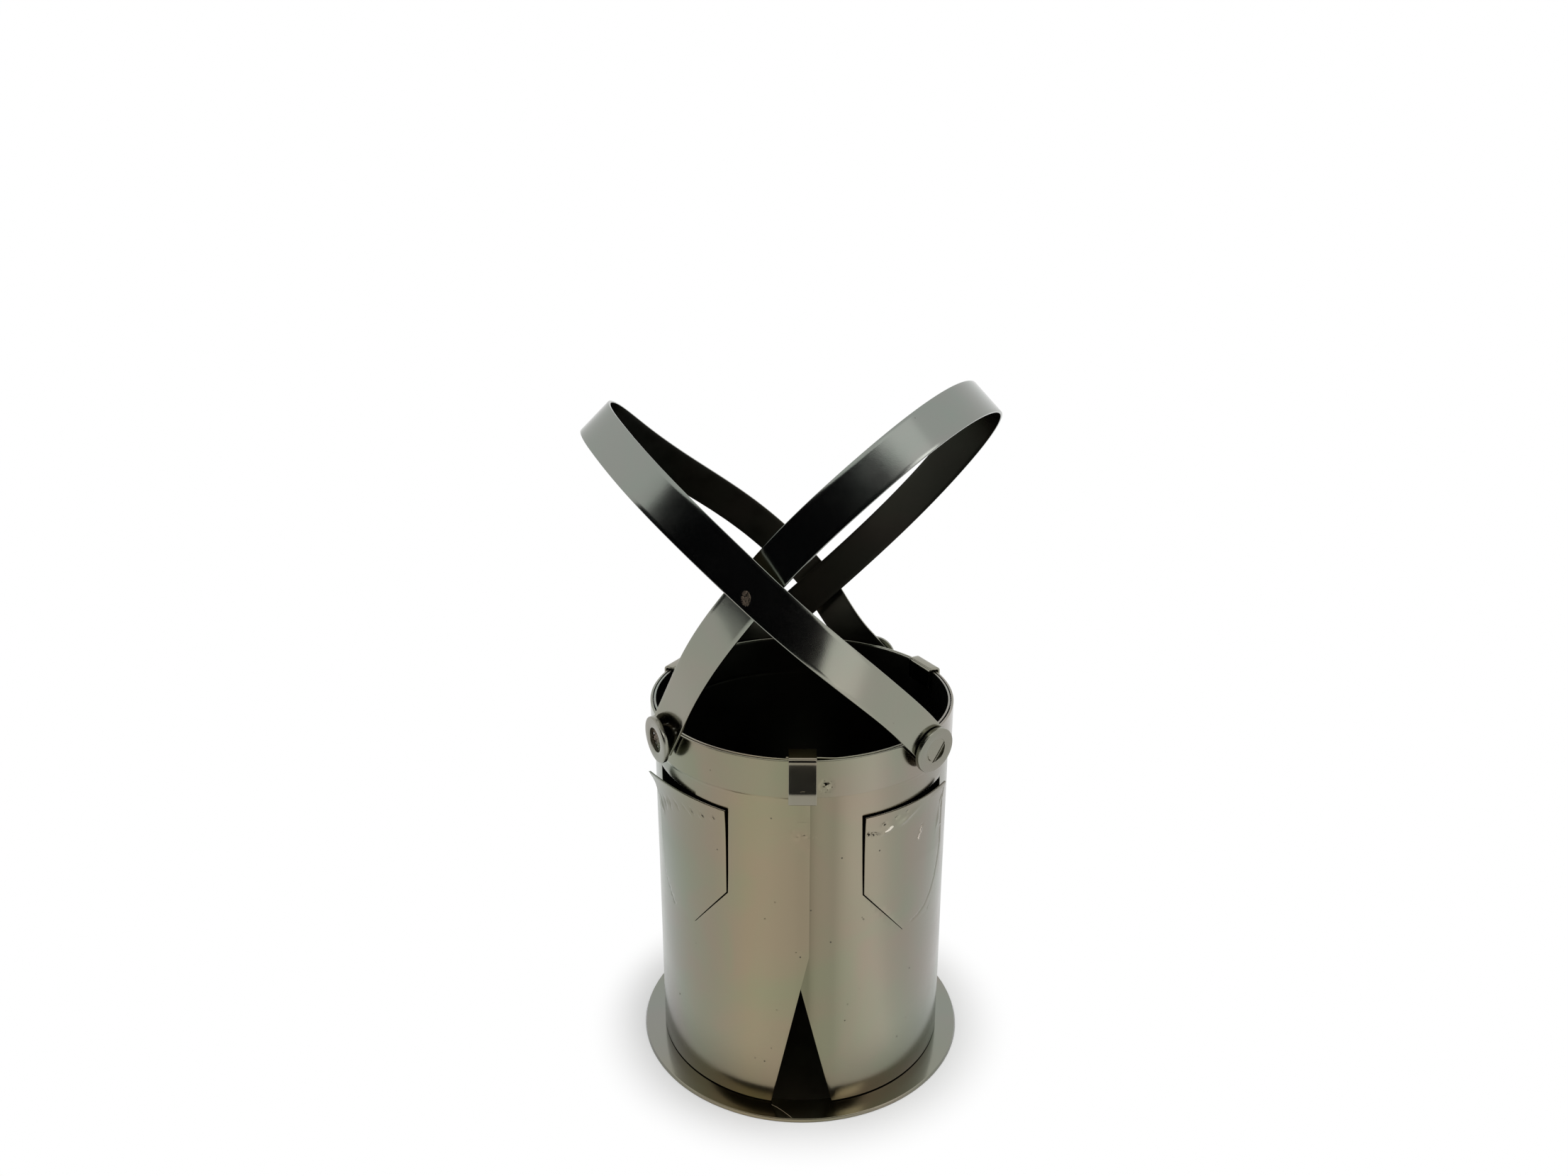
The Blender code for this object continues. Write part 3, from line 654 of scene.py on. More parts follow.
def spatter(name, drops, finish):
    """Beads of spatter: low lumps of weld, each given as turn, reach, height and size."""
    bm = bmesh.new()
    for turn, reach, height, size in drops:
        place, outward = at_turn(turn, reach, height), at_turn(turn, 1.0)
        turned = Matrix.Translation(place) @ outward.to_track_quat("Z", "Y").to_matrix().to_4x4()
        made = bmesh.ops.create_icosphere(bm, subdivisions=2, radius=size, matrix=turned)
        for vertex in made["verts"]:
            local = vertex.co - place
            lumpy = 1 + 0.35 * noise.noise(local * (1.4 / size) + place * 900)
            local -= outward * (local.dot(outward) * 0.45)
            vertex.co = place + local * lumpy
    return finished(name, bm, finish, crease=180)


# Stray beads on the sheet, plated over: turn in degrees, height and size in millimetres
STRAY_BEADS = (
    (-13.2, 57.1, 0.22), (-9.4, 62.2, 0.2), (23.9, 55.7, 0.26), (23.3, 56.3, 0.2),
    (-1.6, 48.0, 0.24), (18.1, 31.1, 0.22), (-56.4, 22.0, 0.3), (-8.8, 30.2, 0.18),
)
sheet_spatter = spatter("scene_trousers_spatter", [
    (math.radians(turn), TUBE_RADIUS, rise / 1000, size / 1000) for turn, rise, size in STRAY_BEADS
], sheet_plating)


def even(tone):
    """A bath that gives the same tone all round."""
    return ((-90, tone), (270, tone))


# Where the right pocket's mouth was pushed out, the plating is rubbed through to bright steel in a crooked
# burr, and above it a smooth spot of the same bright steel is a painted highlight: as turn in degrees, height
# and size in millimetres; then the share of each bead's size that it is sunk
RUBBED_SPOTS_AND_GLINT = (
    (50.3, 76.5, 0.17), (49.8, 76.2, 0.22), (49.3, 75.9, 0.22), (49.1, 75.6, 0.18), (49.5, 75.3, 0.17),
    (49.6, 75.0, 0.2), (49.2, 74.7, 0.22), (48.8, 74.4, 0.24), (48.5, 74.1, 0.24), (48.2, 73.8, 0.22),
    (48.4, 73.5, 0.16), (31.6, 79.8, 0.36), (32.1, 79.92, 0.44), (32.6, 80.04, 0.5), (33.1, 80.16, 0.54),
    (33.6, 80.28, 0.5), (34.1, 80.4, 0.44), (34.6, 80.52, 0.36), (64.8, 80.9, 0.1),
)
RUBBED_SINK = 0.4
bare_steel_and_glint = plated_steel("bare_steel_and_glint", even((0.74, 0.7, 0.6)), (0.25, 0.4), (2600.0, 0.2), pits=0.0)
rubbed_and_glint_drops = []
for degrees, rise, size in RUBBED_SPOTS_AND_GLINT:
    turn, up = math.radians(degrees), rise / 1000
    push = pocket_push(*flaps[0], turn * TUBE_RADIUS, up) + mark_push(degrees, rise)
    push += noise.noise(ripple_place(turn, up)) * ROLL_RIPPLE
    rubbed_and_glint_drops.append((turn, TUBE_RADIUS + push - size / 1000 * RUBBED_SINK, up, size / 1000))
# The burr is worn bright steel; the smooth spot is a painted highlight
rubbed = spatter("scene_pocket_rubbed_and_glint", rubbed_and_glint_drops, bare_steel_and_glint)


# ---------------------------------------------------------------------------
# Tack welds.  Four short beads in the inside corner of the trousers and the disc,
# laid by hand, so they are lumpy; they were plated over with the rest.
# ---------------------------------------------------------------------------
TACK_LENGTH = 0.006
TACK_SIZE = 0.0014
TACK_SEAT = 0.0013
TACK_REACH = 0.03835
TACK_STEPS = 48
TACK_RIPPLES = 7
TACK_TURNS = (40, 140, -140, -40)

WELD_BATH = (
    (-90, (0.15, 0.145, 0.125)), (0, (0.19, 0.165, 0.12)), (90, (0.16, 0.15, 0.125)),
    (270, (0.15, 0.145, 0.125)),
)
weld_metal = plated_steel("weld_metal", WELD_BATH, (0.3, 0.5), (2600.0, 0.6), patches=0.15, pits=0.25)


def weld_bead(name, turn):
    """A bead laid in the corner, swelling in the middle and rippled like a row of coins."""
    bm = bmesh.new()
    rows = []
    for share in np.linspace(0, 1, TACK_STEPS + 1):
        at = turn + (share - 0.5) * TACK_LENGTH / TACK_REACH
        swell = math.sqrt(max(1 - (2 * share - 1) ** 4, 0.02))
        swell *= 0.9 + 0.1 * math.cos(share * math.tau * TACK_RIPPLES)
        row = []
        for k in range(9):
            angle = math.pi / 2 * k / 8
            rough = 1 + 0.12 * noise.noise(Vector((share * 14, k * 0.7, turn * 9)))
            size = TACK_SIZE * swell * rough * (0.86 + 0.12 * math.sin(2 * angle))
            reach, height = TACK_REACH - size * math.cos(angle), TACK_SEAT + size * math.sin(angle)
            row.append(bm.verts.new(at_turn(at, reach, height)))
        row.append(bm.verts.new(at_turn(at, TACK_REACH, TACK_SEAT)))
        rows.append(row)
    skin(bm, rows)
    for end in (rows[0], rows[-1]):
        bm.faces.new(end)
    return finished(name, bm, weld_metal, crease=60)


for number, turn in enumerate(TACK_TURNS, start=1):
    bead = weld_bead(f"scene_tack_weld_{number}", math.radians(turn))
    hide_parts(f"tack_weld_{number}")


# ---------------------------------------------------------------------------
# Belt.  A strip of 10 x 0.6 mm steel bent round the outside of the rim, its ends
# butting under the front loop.  A spot weld beside the loop holds it to the sheet
# and has left a dimple with a few beads of spatter.
# ---------------------------------------------------------------------------
BELT_RADIUS = 0.03985
BELT_THICKNESS = 0.0006
BELT_WIDTH = 0.0098
BELT_GAP = 0.0008
BELT_MIDDLE = RIM - BELT_WIDTH / 2
STRIP_EDGE = 0.00014
BELT_RIPPLE = 0.00004

# The spot weld's dimple: turn and what is worked finely on either side, in degrees, height, depth
# and size; its raised lip: rise, reach and size; and how rough it is, and how far
DIMPLE_TURN = 8.6
DIMPLE_SPAN = 5
DIMPLE_HEIGHT = 0.0953
DIMPLE_DEPTH = 0.00022
DIMPLE_SIZE = 0.0007
DIMPLE_LIP = (0.00016, 0.0013, 0.0005)
DIMPLE_ROUGH = (0.00016, 0.0015)

# Tones round the belt: darker at the front and lighter to the right of it, painted shade and a painted
# highlight, and cooler towards the sides
BELT_TONES_AND_SHADE = (
    (-90, (0.24, 0.24, 0.205)), (-56, (0.25, 0.242, 0.19)), (-36, (0.254, 0.24, 0.172)),
    (-16, (0.25, 0.236, 0.158)), (2, (0.244, 0.228, 0.155)), (16, (0.262, 0.242, 0.184)),
    (30, (0.272, 0.257, 0.204)), (60, (0.255, 0.25, 0.212)), (180, (0.256, 0.246, 0.195)),
    (270, (0.24, 0.24, 0.205)),
)
belt_plating = plated_steel("belt_plating", BELT_TONES_AND_SHADE, (0.15, 0.2), (3600.0, 0.16))


def strip(name, centres, alongs, width, thickness, finish, flats=8, edge=STRIP_EDGE, press=None):
    """Steel strip following centre points, its width along given directions, sheared edges eased."""
    half, depth = width / 2 - edge, thickness / 2 - edge
    section = [(x, thickness / 2) for x in np.linspace(-half, half, flats + 1)[1:-1]]
    section += rounded((half, depth), 90, 0, edge, 3)
    section += rounded((half, -depth), 0, -90, edge, 3)
    section += [(x, -thickness / 2) for x in np.linspace(half, -half, flats + 1)[1:-1]]
    section += rounded((-half, -depth), -90, -180, edge, 3)
    section += rounded((-half, depth), 180, 90, edge, 3)
    last = len(centres) - 1
    bm = bmesh.new()

    def ring(i, ahead, shrink):
        travel = (centres[min(i + 1, last)] - centres[max(i - 1, 0)]).normalized()
        along = (alongs[i] - travel * alongs[i].dot(travel)).normalized()
        through = travel.cross(along)
        points = []
        for x, y in section:
            lift = press(i, x) if press is not None else 0.0
            x -= math.copysign(min(abs(x), shrink), x)
            y -= math.copysign(min(abs(y), shrink), y)
            points.append(bm.verts.new(centres[i] + travel * ahead + along * x + through * (y + lift)))
        return points

    rows = [ring(0, 0, edge), ring(0, edge, 0)]
    rows += [ring(i, 0, 0) for i in range(1, last)]
    rows += [ring(last, -edge, 0), ring(last, 0, edge)]
    skin(bm, rows)
    bm.faces.new(rows[0])
    bm.faces.new(rows[-1][::-1])
    return finished(name, bm, finish)


gap_turn = BELT_GAP / BELT_RADIUS / 2
fine_start, fine_end = math.radians(DIMPLE_TURN - DIMPLE_SPAN), math.radians(DIMPLE_TURN + DIMPLE_SPAN)
belt_turns = list(np.linspace(gap_turn, fine_start, 6))[:-1]
belt_turns += list(np.linspace(fine_start, fine_end, 41))
belt_turns += list(np.linspace(fine_end, math.tau - gap_turn, 200))[1:]
belt_centres = [at_turn(turn, BELT_RADIUS, BELT_MIDDLE) for turn in belt_turns]


def belt_press(i, across):
    """The spot weld's dimple, with its raised lip, and a slight ripple all along."""
    around = (math.degrees(belt_turns[i]) - DIMPLE_TURN) * math.radians(1) * BELT_RADIUS
    up = BELT_MIDDLE + across - DIMPLE_HEIGHT
    far = math.hypot(around, up)
    push = -DIMPLE_DEPTH * math.exp(-(far / DIMPLE_SIZE) ** 2)
    rise, reach, size = DIMPLE_LIP
    push += rise * math.exp(-((far - reach) / size) ** 2)
    rise, reach = DIMPLE_ROUGH
    push += noise.noise(Vector((around, up, 0)) * 1900) * rise * math.exp(-(far / reach) ** 2)
    way = Vector((math.cos(belt_turns[i]), math.sin(belt_turns[i]), 0))
    return -(push + noise.noise(way * 4) * BELT_RIPPLE)


up_axis = Vector((0, 0, 1))
belt = strip(
    "scene_belt", belt_centres, [up_axis] * len(belt_centres), BELT_WIDTH, BELT_THICKNESS, belt_plating,
    flats=36, press=belt_press,
)
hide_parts("belt_band")

# Beads round the dimple: places along and up from it and sizes, in millimetres
BELT_BEADS = (
    (0.9, 0.5, 0.16), (-0.9, -0.2, 0.13), (0.3, -1.1, 0.14), (1.4, -0.5, 0.1), (-0.4, 1.3, 0.1),
    (0.6, 0.0, 0.2), (-0.2, 0.4, 0.15), (0.9, -1.7, 0.08), (1.9, 0.3, 0.07), (-1.5, -1.3, 0.07),
    (0.1, -0.4, 0.13), (1.2, 1.1, 0.08),
)
belt_face = BELT_RADIUS + BELT_THICKNESS / 2
belt_spatter = spatter("scene_belt_spatter", [
    (math.radians(DIMPLE_TURN) + along / 1000 / BELT_RADIUS, belt_face, DIMPLE_HEIGHT + up / 1000, size / 1000)
    for along, up, size in BELT_BEADS
], belt_plating)


# ---------------------------------------------------------------------------
# Belt loops.  Short strips hooked over the rim from outside, one narrow one over
# the lap at the front and a wider one on each side at the back.  Each is bent by
# hand over the edge and held by a spot weld; its foot is set back to the belt.
# ---------------------------------------------------------------------------
LOOP_THICKNESS = 0.0006
LOOP_BEND = 0.0007
LOOP_GAP = 0.0003
LOOP_INNER_LEG = 0.005
LOOP_TOE = 0.0023
LOOP_LEAN_POWER = 1.04
LOOP_EDGE = 0.0002

# Width, length of the outer leg, how far its toe leans out, sheets inside it, play inside the rim
FRONT_LOOP = (0.0068, 0.0101, 0.00225, 2, 0.0022)
REAR_LOOP = (0.01, 0.0111, 0.0004, 1, 0.0)
FRONT_TURN = 0.4
REAR_TURN = 119

# Strips hung high in the bath came out cooler in tone than what hung low
STRIP_BATH = (
    (0.09, (0.272, 0.265, 0.212)), (0.125, (0.268, 0.268, 0.221)), (0.15, (0.25, 0.262, 0.234)),
    (0.186, (0.25, 0.265, 0.245)),
)
strip_plating = plated_steel(
    "strip_plating", STRIP_BATH, (0.12, 0.17), (3400.0, 0.16), along="height", patches=0.03,
)

# The front loop came out browner towards its crown
LOOP_BATH = ((0.09, (0.27, 0.262, 0.21)), (0.095, (0.26, 0.245, 0.19)), (0.103, (0.25, 0.222, 0.165)))
loop_plating = plated_steel(
    "loop_plating", LOOP_BATH, (0.14, 0.18), (3400.0, 0.1), along="height", patches=0.03,
)


def belt_loop(name, turn, width, outer_leg, lean, sheets_inside, play, finish):
    """A loop whose outer leg leans out from the belt to its upright toe; returns loop and leg."""
    outer = belt_face + LOOP_GAP + LOOP_THICKNESS / 2
    wall = TUBE_RADIUS - sheets_inside * SHEET - (sheets_inside - 1) * LOOP_GAP
    inner = math.sqrt((wall - LOOP_GAP) ** 2 - (width / 2) ** 2) - play - LOOP_THICKNESS / 2
    crown = RIM + LOOP_GAP + LOOP_THICKNESS / 2
    toe = RIM - outer_leg
    knee = toe + LOOP_TOE
    leg = [(outer + lean, toe + LOOP_TOE * share) for share in (0, 0.5, 0.9)]
    for share in np.linspace(0.03, 1, 15):
        rise = knee + (crown - LOOP_BEND - knee) * share
        leg.append((outer + lean * (1 - share) ** LOOP_LEAN_POWER, rise))
    profile = list(leg)
    for corner, first in ((outer - LOOP_BEND, 0), (inner + LOOP_BEND, 90)):
        profile += rounded((corner, crown - LOOP_BEND), first, first + 90, LOOP_BEND, 8)[1:]
    profile += [(inner, crown - LOOP_BEND - 0.001), (inner, RIM - LOOP_INNER_LEG)]
    centres = [at_turn(turn, reach, up) for reach, up in profile]
    sideways = at_turn(turn + math.pi / 2, 1.0)
    loop = strip(name, centres, [sideways] * len(centres), width, LOOP_THICKNESS, finish, edge=LOOP_EDGE)
    return loop, leg


front_loop, front_leg = belt_loop(
    "scene_belt_loop_front", math.radians(FRONT_TURN), *FRONT_LOOP, loop_plating,
)
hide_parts("belt_loop_front")

# Its crown and inner leg are painted near black: a painted dark reflection on the crown, painted shade on the
# inner leg
plate_faces(front_loop, inside_shade_plating, lambda middle, facing: middle.xy.length < BELT_RADIUS)

for side, way in (("right", 1), ("left", -1)):
    loop, _ = belt_loop(
        f"scene_belt_loop_rear_{side}", math.radians(REAR_TURN) * way, *REAR_LOOP, strip_plating,
    )
    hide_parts(f"belt_loop_rear_{side}")

# The spot weld's mark on the front loop, a small raised hook of metal: its height, then places
# along and up from there and sizes, in millimetres
MARK_HEIGHT = 0.0954
LOOP_MARK = (
    (-0.5, -0.5, 0.11), (-0.5, -0.25, 0.12), (-0.4, 0.0, 0.13), (-0.1, 0.12, 0.12), (0.2, 0.14, 0.13),
    (0.5, 0.1, 0.1),
)
leg_reaches, leg_heights = zip(*front_leg)
loop_face = float(np.interp(MARK_HEIGHT, leg_heights, leg_reaches)) + LOOP_THICKNESS / 2
front_mark = spatter("scene_loop_spot_weld", [
    (math.radians(FRONT_TURN) + along / 1000 / loop_face, loop_face, MARK_HEIGHT + up / 1000, size / 1000)
    for along, up, size in LOOP_MARK
], weld_metal)


# ---------------------------------------------------------------------------
# Braces.  Two strips of 10 x 0.8 mm steel, each from a front washer up over the
# opposite side as a leaning hoop and down to a washer at the back.  They are bent
# by hand the easy way, cross in front and behind, and the right one lies on top.
# ---------------------------------------------------------------------------
BRACE_WIDTH = 0.01
BRACE_THICKNESS = 0.0008
BRACE_EDGE = 0.00016
BRACE_TAIL = 0.003
FLAT_LENGTH = 0.0064
TWIST_LENGTH = 0.02
HOOP_RISE = 0.084
LAYER = 0.0011
OUTER_BELT = 0.04015
ROUTE_STEPS = 42
END_PULL = 0.36
HOOPS_MIDDLE = Vector((0, 0, 0.11))

# Stations between the ends: turn in degrees, share of the belt's radius, share of the hoops'
# rise above the rim, and strips passed over there
RIGHT_STATIONS = (
    (-13.5, 1.096, 0.524, 1), (-73.0, 1.230, 0.869, 0), (-94.0, 1.267, 0.875, 0), (-114.5, 1.168, 0.744, 0),
    (180.0, 1.246, 0.226, 1),
)
LEFT_STATIONS = (
    (-25.0, 1.024, 0.405, 0), (24.0, 0.899, 0.804, 0), (82.0, 1.068, 0.958, 0), (127.0, 1.292, 0.690, 0),
    (180.0, 1.128, 0.113, 0),
)

# Ends: turn, stand-off, rise above the belt's middle, and the turn and rise that it faces; then
# swing and lean of the width at the front, the side and the back
RIGHT_ENDS = ((50.0, 0.0019, 0.0029, 41.5, -6.0), (150.0, 0.0022, 0.0, 165.0, 0.0))
LEFT_ENDS = ((-56.7, 0.0012, 0.0035, -50.0, 0.0), (-150.0, 0.0022, 0.0, -165.0, 0.0))
RIGHT_LEAN = ((57.0, 53.0), (10.5, 43.5), (6.0, 45.0))
LEFT_LEAN = ((48.5, 60.0), (34.0, 41.5), (13.0, 44.5))


def facing_way(turn, rise):
    """The direction at a turn from the front and a rise, both in degrees."""
    return at_turn(math.radians(turn), math.cos(math.radians(rise)), math.sin(math.radians(rise)))


def hand_bent(stations, first_travel, last_travel):
    """The smooth line that a strip takes through its stations."""
    curve = bpy.data.curves.new("route", "CURVE")
    curve.dimensions = "3D"
    curve.resolution_u = ROUTE_STEPS
    spline = curve.splines.new("BEZIER")
    spline.bezier_points.add(len(stations) - 1)
    for point, station in zip(spline.bezier_points, stations):
        point.co = station
        point.handle_left_type = "AUTO"
        point.handle_right_type = "AUTO"
    first, last = spline.bezier_points[0], spline.bezier_points[-1]
    for point in (first, last):
        point.handle_left_type = "FREE"
        point.handle_right_type = "FREE"
    first.handle_right = first.co + first_travel * ((stations[1] - stations[0]).length * END_PULL)
    last.handle_left = last.co - last_travel * ((stations[-1] - stations[-2]).length * END_PULL)
    first.handle_left = first.co
    last.handle_right = last.co
    mesh = mesh_of(curve)
    route = [vertex.co.copy() for vertex in mesh.vertices]
    bpy.data.meshes.remove(mesh)
    return route


def brace(name, side, both_ends, shares, leans):
    """A brace between two flat ends.

    Returns the piece, its route and widths, and each end's place, facing and width.
    """
    middle = [
        at_turn(math.radians(turn), OUTER_BELT * reach + layers * LAYER, RIM + HOOP_RISE * rise)
        for turn, reach, rise, layers in shares
    ]
    ends = []
    for end, neighbour in zip(both_ends, (middle[0], middle[-1])):
        turn, standoff, rise, facing_turn, facing_rise = end
        point = at_turn(math.radians(turn), OUTER_BELT + standoff, BELT_MIDDLE + rise)
        facing = facing_way(facing_turn, facing_rise)
        inward = neighbour - point
        inward = (inward - facing * inward.dot(facing)).normalized()
        ends.append((point, facing, inward))
    starts = [point + inward * FLAT_LENGTH for point, _, inward in ends]
    stations = starts[:1] + middle + starts[1:]
    route = hand_bent(stations, ends[0][2], -ends[1][2])
    last = len(stations) - 1
    swing_fit, lean_fit = np.polyfit((0, last / 2, last), np.radians(leans), 2).T
    widths = []
    for i, centre in enumerate(route):
        travel = (route[min(i + 1, len(route) - 1)] - route[max(i - 1, 0)]).normalized()
        swing, lean = (np.polyval(fit, i / ROUTE_STEPS) for fit in (swing_fit, lean_fit))
        level = math.cos(lean)
        along = Vector((side * level * math.cos(swing), level * math.sin(swing), math.sin(lean)))
        for start, (_, facing, inward) in zip(starts, ends):
            share = min((centre - start).length / TWIST_LENGTH, 1)
            flat = facing.cross(inward)
            if flat.dot(along) < 0:
                flat.negate()
            along = flat.lerp(along, share * share * (3 - 2 * share))
        widths.append((along - travel * along.dot(travel)).normalized())
    lead_in, lead_out = (
        [point + inward * (FLAT_LENGTH * t - BRACE_TAIL * (1 - t)) for t in (0.0, 0.33, 0.66)]
        for point, _, inward in ends
    )
    centres = lead_in + route + lead_out[::-1]
    alongs = [widths[0]] * 3 + widths + [widths[-1]] * 3
    piece = strip(
        name, centres, alongs, BRACE_WIDTH, BRACE_THICKNESS, strip_plating, flats=10, edge=BRACE_EDGE,
    )
    held = [(point, facing, along) for (point, facing, _), along in zip(ends, (widths[0], widths[-1]))]
    return piece, route, widths, held


right_brace, right_route, right_widths, right_ends = brace(
    "scene_brace_right", 1, RIGHT_ENDS, RIGHT_STATIONS, RIGHT_LEAN,
)
left_brace, _, _, left_ends = brace("scene_brace_left", -1, LEFT_ENDS, LEFT_STATIONS, LEFT_LEAN)
for piece, node in ((right_brace, "brace_right"), (left_brace, "brace_left")):
    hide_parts(node)
    # Painted shade: the faces of the braces turned into the hoops are painted near black
    plate_faces(piece, inside_shade_plating, lambda middle, facing: (
        facing.dot(HOOPS_MIDDLE - middle) > 0.3 * (HOOPS_MIDDLE - middle).length
    ))

# Fine spatter above the crossing was wire-brushed while hot, which left an oval patch of crossed
# scratches on the right brace: its middle, upright axis, half height and half width, how far the
# scratches stand up, which ways they run, and how far it is sunk in between
SMEAR_MIDDLE = Vector((-0.01255, -0.0451, 0.1448))
SMEAR_UPRIGHT = Vector((-0.05, 0.37, 0.93)).normalized()
SMEAR_HALF = (0.0021, 0.0013)
SMEAR_RISE = 0.00007
SMEAR_WAYS = (0.6, -0.5, 1.4)
SMEAR_SINK = 0.00003
SMEAR_GRID = np.arange(-0.0024, 0.0024, 0.00008)

nearest = min(range(len(right_route)), key=lambda i: (right_route[i] - SMEAR_MIDDLE).length)
offset = (SMEAR_MIDDLE - right_route[nearest]).dot(right_widths[nearest])
station_step = (right_route[nearest + 1] - right_route[nearest]).length
face_half = BRACE_WIDTH / 2 - STRIP_EDGE
bm = bmesh.new()
rows = []
for down in SMEAR_GRID:
    at = nearest + down / station_step
    i, share = int(at), at % 1
    centre = right_route[i].lerp(right_route[i + 1], share)
    along = right_widths[i].lerp(right_widths[i + 1], share).normalized()
    outward = (right_route[i + 1] - right_route[i]).cross(along).normalized()
    if outward.y > 0:
        outward.negate()
    row = []
    for across in SMEAR_GRID:
        if abs(offset + across) > face_half:
            across = math.copysign(face_half, offset + across) - offset
        point = centre + along * (offset + across)
        up = (point - SMEAR_MIDDLE).dot(SMEAR_UPRIGHT)
        beside = math.sqrt(max((point - SMEAR_MIDDLE).length_squared - up * up, 0))
        inside = 1 - ((up / SMEAR_HALF[0]) ** 2 + (beside / SMEAR_HALF[1]) ** 2) ** 1.5
        scratches = 0.0
        for way in SMEAR_WAYS:
            u = down * math.cos(way) + across * math.sin(way)
            v = across * math.cos(way) - down * math.sin(way)
            line = 1 - 4 * abs(noise.noise(Vector((u * 3600, v * 700, way * 9))))
            scratches = max(scratches, line)
        lift = SMEAR_RISE * scratches * min(max(inside * 2, 0), 1) - SMEAR_SINK
        row.append(bm.verts.new(point + outward * (BRACE_THICKNESS / 2 + lift)))
    rows.append(row)
skin(bm, rows, closed=False)
bmesh.ops.remove_doubles(bm, verts=bm.verts, dist=0.000002)
brace_smear = finished("scene_brace_spatter", bm, weld_metal, crease=180)


# ---------------------------------------------------------------------------
# Washers.  Plain M6 washers turned flat against the braces' ends, two in front and
# two behind, like the buttons of the braces.  Their stamped edges are rounded on
# the outer side.
# ---------------------------------------------------------------------------
WASHER_RADIUS = 0.006
WASHER_BORE = 0.0032
WASHER_THICKNESS = 0.0012
WASHER_HALF = WASHER_THICKNESS / 2
WASHER_ROUND = 0.00034
BORE_ROUND = 0.00016
LOW_ROUND = 0.0001
WASHER_GAP = 0.0003
SEAT = BRACE_THICKNESS / 2 + WASHER_GAP

low_edge = LOW_ROUND - WASHER_HALF
washer_profile = rounded((WASHER_RADIUS - WASHER_ROUND, WASHER_HALF - WASHER_ROUND), 90, 0, WASHER_ROUND)
washer_profile += rounded((WASHER_RADIUS - LOW_ROUND, low_edge), 0, -90, LOW_ROUND, 2)
washer_profile += rounded((WASHER_BORE + LOW_ROUND, low_edge), -90, -180, LOW_ROUND, 2)
washer_profile += rounded((WASHER_BORE + BORE_ROUND, WASHER_HALF - BORE_ROUND), 180, 90, BORE_ROUND, 3)

washer_plating = plated_steel(
    "washer_plating", even((0.25, 0.246, 0.204)), (0.2, 0.3), (3000.0, 0.25), patches=0.03,
)

# Each washer: the brace's end it sits on, its shift along the strip's width and, where it doesn't
# lie flat on the strip, the way it faces
BUTTONS = {
    "front_right": (right_ends[0], -0.0007, None),
    "rear_right": (right_ends[1], 0.0, None),
    "front_left": (left_ends[0], -0.0011, facing_way(-60.0, -3.0)),
    "rear_left": (left_ends[1], 0.0, None),
}
button_frames = {}
for name, ((point, brace_facing, along), shift, facing) in BUTTONS.items():
    facing = facing or brace_facing
    tilt = facing.angle(brace_facing)
    lift = (SEAT + WASHER_RADIUS * math.sin(tilt)) / math.cos(tilt)
    seat_point = point + along * shift
    turned = facing.to_track_quat("Z", "Y").to_matrix().to_4x4()
    place = Matrix.Translation(seat_point + facing * (lift + WASHER_HALF)) @ turned
    washer = turn_on_lathe("scene_washer_" + name, washer_profile, 96, washer_plating, place)
    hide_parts("washer_" + name)
    button_frames[name] = (place, lift, tilt)


# ---------------------------------------------------------------------------
# Plug welds.  Each washer's hole is filled with weld, which holds washer, brace and
# belt together.  The front right one is flush and runs over the washer's face, with
# an open wedge at its side; the front left one is low and rough.
# ---------------------------------------------------------------------------
PLUG_RADIUS = 0.0029
PLUG_SPREAD = 1.11
PLUG_RINGS = 45
PLUG_STEPS = 120

# The open wedge in the front right plug: a point on its left side and the way across it, in mm
WEDGE_POINT = (-0.64, -2.85)
WEDGE_ACROSS = (0.826, -0.564)

plug_metal = plated_steel(
    "plug_metal", even((0.252, 0.247, 0.2)), (0.2, 0.3), (2600.0, 0.3), patches=0.03,
)


def plug(name, place, floor, surface, overrun, finish):
    """A plug of weld in a washer's hole, its top given as a height at each place across it."""
    bm = bmesh.new()
    angles = [math.tau * i / PLUG_STEPS for i in range(PLUG_STEPS)]
    rings = [[bm.verts.new(place @ Vector((0, 0, surface(0, 0) / 1000)))]]
    for k in range(1, PLUG_RINGS + 1):
        ring = []
        for angle in angles:
            reach = PLUG_RADIUS * (PLUG_SPREAD + overrun(math.degrees(angle))) * k / PLUG_RINGS
            x, y = reach * math.cos(angle), reach * math.sin(angle)
            ring.append(bm.verts.new(place @ Vector((x, y, surface(x * 1000, y * 1000) / 1000))))
        rings.append(ring)
    for height in (floor + (WASHER_HALF - floor) * 0.2, floor):
        rings.append([
            bm.verts.new(place @ Vector((PLUG_RADIUS * math.cos(a), PLUG_RADIUS * math.sin(a), height)))
            for a in angles
        ])
    skin(bm, rings)
    bm.faces.new(rings[-1][::-1])
    return finished(name, bm, finish, crease=32)


def run_over(angle):
    """How far the flush weld has run over the washer: along its left, most at its lower left."""
    return 0.08 * math.exp(-((angle - 165) / 95) ** 6) + 0.18 * math.exp(-((angle - 212) / 24) ** 4)


def kept_in(angle):
    """A weld that hasn't run over the washer."""
    return 0.0


